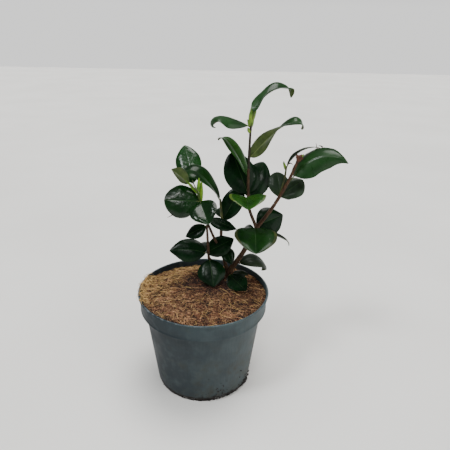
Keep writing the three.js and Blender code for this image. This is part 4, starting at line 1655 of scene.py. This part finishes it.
@dataclass
class CoirMulch:
    """The coconut fibre that fills the pot: a lumpy mat under thousands of loose fibres."""

    edge: float = 142.4
    tilt: float = 4.6
    high_side: float = 235.0
    dome: float = 7.0
    dip: float = 4.5
    dip_turn: float = 128.0
    lumps: float = 0.5
    rim_gap: float = 3.2
    mat_radius: float = 90.6
    mat_middle: float = 0.012
    mat_base: tuple[tuple[float, float], ...] = ((1.0, 2.3), (66.4, 2.3), (82.9, 122.0), (89.0, 126.0))
    mat_sink: float = 0.9
    mat_waves: float = 0.45
    mat_grain: float = 0.28
    rings: int = 74
    sectors: int = 240
    patch: float = 16.0
    patch_level: float = GROUND - 0.3
    leaf_shade_reach: tuple[float, float] = (46.0, 30.0)
    gold_way: tuple[float, float] = (-0.85, 0.55)
    gold_from: float = 8.0
    gold_to: float = 70.0
    gold_least: float = 0.2
    fibre_points: int = 7
    fibre_length: tuple[float, float] = (8.0, 25.0)
    fibre_bow: float = 0.5
    fibre_wave: float = 0.26
    fibre_taper: float = 0.75
    fibre_tilt: float = 0.5
    fibre_sink: float = 0.4
    fibre_gap: float = 3.9
    fibre_heap: float = 0.6
    fibre_swell: tuple[float, float] = (0.5, 1.4)
    rim_fibres: int = 90
    rim_turns: tuple[float, float] = (156.0, 207.0)
    rim_reach: tuple[float, float] = (82.0, 94.0)
    rim_rise: tuple[float, float] = (82.0, 91.0)
    rim_hang: float = 2.4
    rim_sag: float = 1.6
    rim_lift: float = 0.7
    rim_heap: float = 1.6
    rim_stray: float = 0.55
    rim_thick: tuple[float, float] = (0.2, 0.5)
    finish: CoirFinish = CoirFinish()
    lots: tuple[FibreLot, ...] = (
        FibreLot(1700, Zone.GOLD, 0.33, 2.6, Fibre.STRAW),
        FibreLot(1800, Zone.GOLD, 0.32, 2.0, Fibre.GOLD),
        FibreLot(2300, Zone.BROWN, 0.25, 2.4, Fibre.TAN),
        FibreLot(2700, Zone.BROWN, 0.29, 2.1, Fibre.RED),
        FibreLot(2700, Zone.BROWN, 0.34, 2.2, Fibre.DARK),
        # Dark fibres laid thickly round the stems as painted shade under the leaves
        FibreLot(6600, Zone.IN_SHADE, 0.44, 2.0, Fibre.IN_SHADE),
        FibreLot(1000, Zone.IN_SHADE, 0.36, 2.2, Fibre.RUST),
    )

    def level(self, x: np.ndarray, y: np.ndarray) -> np.ndarray:
        """The mat's height, without its fine relief.

        Args:
            x: Places across.
            y: Places back.

        Returns:
            The height at each of them.
        """
        angle = np.arctan2(y, x)
        reach = np.hypot(x, y) / (RIM_RADIUS - self.rim_gap)
        edge = self.edge + self.tilt * reach * np.cos(angle - math.radians(self.high_side))
        lumps = self.lumps * (np.sin(x * 0.31) * np.cos(y * 0.27) + np.sin((x + y) * 0.17))
        height = edge + self.dome * (1.0 - reach ** 2.2) + lumps * (1.0 - reach)
        towards = np.maximum(np.cos(angle - math.radians(self.dip_turn)), 0.0) ** 2
        height = height - self.dip * towards * smooth_step(reach, 0.5, 0.95)
        near = np.hypot(x - TRUNK_FOOT[0], y - TRUNK_FOOT[1])
        share = smooth_step(near, self.patch, self.patch * 2.0)
        return self.patch_level * (1.0 - share) + height * share

    def chance(self, zone: Zone, x: np.ndarray, y: np.ndarray) -> np.ndarray:
        """How likely a fibre lies at a place.

        Args:
            zone: The fibre's zone.
            x: Places across.
            y: Places back.

        Returns:
            The chance at each of them, from 0 to 1.
        """
        # Painted shade under the leaves: the dark fibres lie thickest round the stems, and the others thin
        # out there
        across = (x - LEAF_SHADE_MIDDLE[0]) / self.leaf_shade_reach[0]
        back = (y - LEAF_SHADE_MIDDLE[1]) / self.leaf_shade_reach[1]
        leaf_shade = np.exp(-(across ** 2 + back ** 2) ** 1.5)
        if zone is Zone.IN_SHADE:
            return leaf_shade
        along = self.gold_way[1] * y + self.gold_way[0] * x
        gold = smooth_step(along, self.gold_from, self.gold_to)
        if zone is Zone.GOLD:
            return (self.gold_least + (1.0 - self.gold_least) * gold) * (1.0 - 0.92 * leaf_shade)
        return (1.0 - 0.72 * gold) * (1.0 - 0.8 * leaf_shade)

    def build_mat(self, wardrobe: Wardrobe) -> bpy.types.Object:
        """Makes the closed mat, from its flat base to its lumpy top.

        Args:
            wardrobe: Where the material comes from.

        Returns:
            The mat.
        """
        rng = np.random.default_rng(SEED)
        angles = np.arange(self.sectors) * 2.0 * math.pi / self.sectors
        circle = np.stack((np.cos(angles), np.sin(angles), np.zeros(self.sectors)), axis=1)
        rings = [circle * radius + np.array([0.0, 0.0, height]) for radius, height in self.mat_base]
        for share in np.linspace(1.0, self.mat_middle, self.rings):
            x = np.cos(angles) * self.mat_radius * share
            y = np.sin(angles) * self.mat_radius * share
            rough = np.sin(x * 1.1 + 2.0 * np.sin(y * 0.7)) * np.sin(y * 1.3 + 1.7 * np.sin(x * 0.6))
            rough = self.mat_waves * rough + rng.normal(0.0, self.mat_grain, self.sectors)
            rings.append(np.stack((x, y, self.level(x, y) - self.mat_sink + rough), axis=1))
        shells = Shells()
        shells.add_sweep(np.array(rings))
        return shells.piece("coir_mat", [wardrobe.of(self.finish)], CRUMB_CREASE)

    def lines(self, rng: np.random.Generator, x: np.ndarray, y: np.ndarray, turn: np.ndarray) -> np.ndarray:
        """Bows fibres about their middles.

        Args:
            rng: Where chance comes from.
            x: The middles' places across.
            y: The middles' places back.
            turn: The way each fibre heads, in radians.

        Returns:
            The places along each fibre as (fibre, point, xy).
        """
        many = len(x)
        length = rng.uniform(*self.fibre_length, many)
        bow = rng.normal(0.0, self.fibre_bow, many)
        share = np.linspace(-0.5, 0.5, self.fibre_points)[None, :]
        wave = self.fibre_wave * np.sin(share * 9.0 + turn[:, None] * 3.0)
        way = turn[:, None] + bow[:, None] * share + wave
        step = length[:, None] / (self.fibre_points - 1)
        middle = np.stack((x, y), axis=1)[:, None]
        back = np.stack((np.cos(turn), np.sin(turn)), axis=1)[:, None] * length[:, None, None] / 2.0
        steps = np.stack((np.cos(way), np.sin(way)), axis=2) * step[..., None]
        return middle - back + np.cumsum(steps, axis=1)

    def skins(self, line: np.ndarray, radius: np.ndarray) -> np.ndarray:
        """Wraps each fibre in a three-sided skin that tapers to both ends.

        Args:
            line: The places along each fibre as (fibre, point, xyz).
            radius: The half thickness of each fibre.

        Returns:
            The rings as (fibre, ring, place in ring, xyz).
        """
        along = unit(np.gradient(line, axis=1))
        side = unit(np.cross(along, np.array([0.0, 0.0, 1.0])))
        up = np.cross(side, along)
        share = np.linspace(-1.0, 1.0, self.fibre_points)[None, :]
        thick = radius[:, None] * (1.0 - self.fibre_taper * np.abs(share) ** 3)
        turns = np.radians((90.0, 210.0, 330.0))
        corners = [line + (side * math.cos(a) + up * math.sin(a)) * thick[..., None] for a in turns]
        return np.stack(corners, axis=2)

    def loose(self, lot: FibreLot, seed: int) -> np.ndarray:
        """Lays a lot's fibres on the mat inside the rim.

        Args:
            lot: The lot.
            seed: The number that chance starts from.

        Returns:
            The rings as (fibre, ring, place in ring, xyz).
        """
        rng = np.random.default_rng(SEED + seed)
        reach = self.mat_radius * np.sqrt(rng.random(lot.count))
        place = rng.random(lot.count) * 2.0 * math.pi
        x, y = reach * np.cos(place), reach * np.sin(place)
        kept = rng.random(lot.count) < self.chance(lot.zone, x, y)
        x, y = x[kept], y[kept]
        many = len(x)
        flat = self.lines(rng, x, y, rng.uniform(0.0, 2.0 * math.pi, many))
        far = np.hypot(flat[..., 0], flat[..., 1])
        flat = flat * (np.minimum(far, RIM_RADIUS - self.fibre_gap) / np.maximum(far, 1e-6))[..., None]
        share = np.linspace(-1.0, 1.0, self.fibre_points)[None, :]
        bow = lot.lift * rng.random(many)[:, None] * (1.0 - share ** 2)
        tilt = rng.normal(0.0, self.fibre_tilt, many)[:, None] * share
        level = self.level(flat[..., 0], flat[..., 1]) - self.fibre_sink
        height = level + bow + tilt + rng.uniform(0.0, self.fibre_heap, many)[:, None]
        line = np.concatenate((flat, height[..., None]), axis=2)
        return self.skins(line, lot.thick * rng.uniform(*self.fibre_swell, many))

    def over_rim(self) -> np.ndarray:
        """Lays the fibres that hang over the rim on the left.

        Returns:
            The rings as (fibre, ring, place in ring, xyz).
        """
        rng = np.random.default_rng(RIM_SEED)
        place = np.radians(rng.uniform(*self.rim_turns, self.rim_fibres))
        reach = rng.uniform(*self.rim_reach, self.rim_fibres)
        turn = place + math.pi / 2.0 + rng.normal(0.0, self.rim_stray, self.rim_fibres)
        flat = self.lines(rng, reach * np.cos(place), reach * np.sin(place), turn)
        far = np.hypot(flat[..., 0], flat[..., 1])
        furthest = RIM_RADIUS + self.rim_hang
        flat = flat * (np.minimum(far, furthest) / far)[..., None]
        far = np.minimum(far, furthest)
        rise = smooth_step(far, *self.rim_rise)
        mulch = self.level(flat[..., 0], flat[..., 1])
        level = mulch * (1.0 - rise) + (POT_HEIGHT + self.rim_lift) * rise
        sag = self.rim_sag * smooth_step(far, RIM_RADIUS, furthest)
        height = level - sag + rng.uniform(0.0, self.rim_heap, self.rim_fibres)[:, None]
        line = np.concatenate((flat, height[..., None]), axis=2)
        return self.skins(line, rng.uniform(*self.rim_thick, self.rim_fibres))

    def build(self, wardrobe: Wardrobe) -> None:
        """Makes and settles the mat and each lot of fibres.

        Args:
            wardrobe: Where the materials come from.
        """
        settle(self.build_mat(wardrobe), "coir", "coir_mulch")
        for number, lot in enumerate(self.lots):
            shells = Shells()
            for rings in self.loose(lot, number + 1):
                shells.add_sweep(rings)
            if number == 0:
                for rings in self.over_rim():
                    shells.add_sweep(rings)
            name = f"coir_{lot.shade.value.name}"
            settle(shells.piece(name, [wardrobe.of(lot.shade)], FIBRE_CREASE), "coir")


@dataclass
class Soil:
    """Crumbs of dark soil: a clod in one drainage slot, a line round the foot that also stands for the shade
    under its edge, and specks on the wall.

    Each pair holds the least and the most that chance picks. Turns are in degrees from +X about +Z.
    """

    clod_turn: float = -25.7
    clod_spread: float = 5.5
    clod_height: float = 4.2
    clod_lift: float = 1.0
    clod_radius: tuple[float, float] = (0.7, 1.7)
    clod_reach: tuple[float, float] = (-2.4, 0.4)
    clod_crumbs: int = 70
    foot_turns: tuple[float, float] = (-170.0, -10.0)
    foot_radius: tuple[float, float] = (0.3, 0.9)
    foot_reach: tuple[float, float] = (-0.4, 1.0)
    foot_height: float = 0.7
    foot_step: float = 2.0
    foot_shade_crumbs: int = 420
    speck_turns: tuple[float, float] = (-85.0, -12.0)
    speck_radius: tuple[float, float] = (0.5, 1.2)
    speck_reach: float = 0.1
    speck_height: float = 13.0
    speck_lift: float = 1.5
    specks: int = 44
    facets: int = 7
    crumb_levels: int = 5
    crumb_end: float = 0.96
    crumb_height: float = 0.85
    crumb_width: tuple[float, float] = (0.75, 1.2)
    finish: FibreFinish = FibreFinish("soil_crumb", (0.002, 0.0014, 0.001), (0.014, 0.009, 0.006))

    def crumb(self, rng: np.random.Generator, middle: np.ndarray, radius: float) -> np.ndarray:
        """One rough crumb.

        Args:
            rng: Where chance comes from.
            middle: The crumb's middle.
            radius: Its mean half thickness.

        Returns:
            The rings as (ring, place in ring, xyz).
        """
        levels = np.linspace(-self.crumb_end, self.crumb_end, self.crumb_levels)
        angles = np.arange(self.facets) * 2.0 * math.pi / self.facets + rng.random()
        rings = []
        for level in levels:
            wide = math.sqrt(1.0 - level ** 2) * rng.uniform(*self.crumb_width, self.facets)
            high = np.full(self.facets, level * self.crumb_height)
            ring = np.stack((np.cos(angles) * wide, np.sin(angles) * wide, high), axis=1)
            rings.append(middle + ring * radius)
        return np.array(rings)

    def wall_radius(self, height: float) -> float:
        """The pot wall's outer radius at a height."""
        return FOOT_RADIUS + (BODY_TOP_RADIUS - FOOT_RADIUS) * height / (POT_HEIGHT - COLLAR_HEIGHT)

    def place(self, turn: float, reach: float, height: float) -> np.ndarray:
        """The point at a turn in radians, a distance from the pot's axis and a height."""
        return np.array([reach * math.cos(turn), reach * math.sin(turn), height])

    def build(self, wardrobe: Wardrobe) -> None:
        """Makes and settles the crumbs.

        Args:
            wardrobe: Where the material comes from.
        """
        rng = np.random.default_rng(SOIL_SEED)
        shells = Shells()
        for _ in range(self.clod_crumbs):
            turn = math.radians(self.clod_turn + rng.normal(0.0, self.clod_spread))
            height = abs(rng.normal(0.0, self.clod_height)) + self.clod_lift
            radius = rng.uniform(*self.clod_radius)
            reach = self.wall_radius(height) + rng.uniform(*self.clod_reach)
            shells.add_sweep(self.crumb(rng, self.place(turn, reach, max(height, radius)), radius))
        # The foot line: dark crumbs, partly soil and partly a stand-in for the shade under the foot's edge
        for _ in range(self.foot_shade_crumbs):
            turn = math.radians(rng.uniform(*self.foot_turns))
            radius = rng.uniform(*self.foot_radius)
            reach = self.wall_radius(0.0) - self.foot_step + rng.uniform(*self.foot_reach)
            height = radius + rng.exponential(self.foot_height)
            shells.add_sweep(self.crumb(rng, self.place(turn, reach, height), radius))
        for _ in range(self.specks):
            turn = math.radians(rng.uniform(*self.speck_turns))
            height = self.speck_lift + rng.exponential(self.speck_height)
            radius = rng.uniform(*self.speck_radius)
            reach = self.wall_radius(height) + self.speck_reach
            shells.add_sweep(self.crumb(rng, self.place(turn, reach, height), radius))
        settle(shells.piece("soil_crumbs", [wardrobe.of(self.finish)], CRUMB_CREASE), "coir")


@dataclass(frozen=True)
class FloorFinish:
    """A pale plain floor."""

    name: str = "studio_floor"
    pale: Colour = (0.8, 0.795, 0.775)
    dim: Colour = (0.76, 0.755, 0.735)
    cloud_size: float = 400.0

    def material(self) -> bpy.types.Material:
        """Makes the dull, faintly clouded floor.

        Returns:
            The material.
        """
        recipe = Recipe(self.name)
        clouds = recipe.noise(self.cloud_size, 2.0)
        recipe.join(Base_Color=recipe.ramp(clouds, (0.35, self.dim), (0.65, self.pale)))
        recipe.set(Roughness=0.9, Specular_IOR_Level=0.0)
        return recipe.material


@dataclass(frozen=True)
class Light:
    """A soft light that falls evenly from one side.

    turn and rise tell where it comes from, as heading does. spread is how wide it looks from the plant, in
    degrees, and power is in watts per square metre.
    """

    name: str
    turn: float
    rise: float
    spread: float
    power: float
    colour: Colour


@dataclass
class Studio:
    """The floor, the soft lights and the camera."""

    camera_place: tuple[float, float, float] = (29.5, -558.0, 486.0)
    camera_roll: float = 1.1
    camera_reach: tuple[float, float] = (0.01, 100.0)
    focal_pixels: float = 440.0
    frame_pixels: float = 450.0
    sensor: float = 36.0
    floor_size: float = 14000.0
    floor_finish: FloorFinish = FloorFinish()
    light_height: float = 2.0
    lights: tuple[Light, ...] = (
        Light("window_light", 215.0, 58.0, 13.0, 1.35, (0.96, 0.98, 1.0)),
        Light("lamp_light", 262.0, 62.0, 10.0, 0.55, (1.0, 1.0, 0.98)),
        Light("ceiling_light", 60.0, 78.0, 34.0, 2.7, (1.0, 0.985, 0.96)),
        Light("wall_light", 325.0, 30.0, 50.0, 1.3, (1.0, 0.99, 0.97)),
    )
    sky_strength: float = 1.2
    sky_levels: tuple[tuple[float, float], ...] = ((0.06, 0.95), (0.28, 0.3), (0.6, 0.16))

    def build_floor(self, wardrobe: Wardrobe) -> None:
        """Makes the floor, at the pot's underside.

        Args:
            wardrobe: Where the material comes from.
        """
        half = self.floor_size / 2.0 * MM
        mesh = bpy.data.meshes.new("floor")
        corners = [(-half, -half, 0.0), (half, -half, 0.0), (half, half, 0.0), (-half, half, 0.0)]
        mesh.from_pydata(corners, [], [(0, 1, 2, 3)])
        mesh.materials.append(wardrobe.of(self.floor_finish))
        floor = bpy.data.objects.new("floor", mesh)
        bpy.context.scene.collection.objects.link(floor)

    def stand(
        self,
        name: str,
        data: bpy.types.ID,
        side: np.ndarray,
        up: np.ndarray,
        back: np.ndarray,
        spot: np.ndarray,
    ) -> bpy.types.Object:
        """Stands a light or the camera in its place.

        Args:
            name: Its name.
            data: What it is.
            side: The direction to its right.
            up: The direction above it.
            back: The direction behind it.
            spot: Its place in metres.

        Returns:
            The object.
        """
        made = bpy.data.objects.new(name, data)
        rows = [(side[axis], up[axis], back[axis], spot[axis]) for axis in range(3)]
        made.matrix_world = Matrix([*rows, (0.0, 0.0, 0.0, 1.0)])
        bpy.context.scene.collection.objects.link(made)
        return made

    def hang(self, light: Light) -> None:
        """Hangs one light.

        Args:
            light: The light.
        """
        data = bpy.data.lights.new(light.name, "SUN")
        data.angle = math.radians(light.spread)
        data.energy = light.power
        data.color = light.colour
        back = heading(light.turn, light.rise)
        side = unit(np.cross(np.array([0.0, 1.0, 0.001]), back))
        up = np.cross(back, side)
        self.stand(light.name, data, side, up, back, np.array([0.0, 0.0, self.light_height]))

    def build_lights(self) -> None:
        """Hangs the lights and sets the surroundings: pale at the horizon, dim overhead."""
        for light in self.lights:
            self.hang(light)
        world = bpy.data.worlds.new("surroundings")
        bpy.context.scene.world = world
        world.use_nodes = True
        tree = world.node_tree
        way = tree.nodes.new("ShaderNodeTexCoord")
        parts = tree.nodes.new("ShaderNodeSeparateXYZ")
        height = tree.nodes.new("ShaderNodeValToRGB")
        sky = tree.nodes["Background"]
        tree.links.new(way.outputs["Generated"], parts.inputs["Vector"])
        tree.links.new(parts.outputs["Z"], height.inputs["Fac"])
        tree.links.new(height.outputs["Color"], sky.inputs["Color"])
        band = height.color_ramp
        while len(band.elements) < len(self.sky_levels):
            band.elements.new(1.0)
        for element, (level, glow) in zip(band.elements, self.sky_levels):
            element.position = level
            element.color = (glow, glow, glow * 0.99, 1.0)
        sky.inputs["Strength"].default_value = self.sky_strength

    def build_camera(self) -> None:
        """Sets the camera in front of the plant, and looking down at it."""
        data = bpy.data.cameras.new("camera")
        data.sensor_width = self.sensor
        data.lens = self.focal_pixels / self.frame_pixels * self.sensor
        data.clip_start, data.clip_end = self.camera_reach
        roll = math.radians(self.camera_roll)
        side = RIGHT * math.cos(roll) + UPWARD * math.sin(roll)
        up = UPWARD * math.cos(roll) - RIGHT * math.sin(roll)
        spot = np.array(self.camera_place) * MM
        bpy.context.scene.camera = self.stand("camera", data, side, up, NEARER, spot)

    def build(self, wardrobe: Wardrobe) -> None:
        """Makes the camera, the lights and the floor.

        Args:
            wardrobe: Where the floor's material comes from.
        """
        self.build_camera()
        self.build_lights()
        self.build_floor(wardrobe)


def main() -> None:
    """Builds the studio, the pot, its mulch and the plant."""
    logging.basicConfig(level=logging.INFO, format="%(name)s %(message)s")
    wardrobe = Wardrobe()
    Studio().build(wardrobe)
    pot = Pot()
    pot.dress(pot.build(), wardrobe)
    CoirMulch().build(wardrobe)
    Soil().build(wardrobe)
    Shrub().build(wardrobe)


if __name__ == "__main__":
    main()
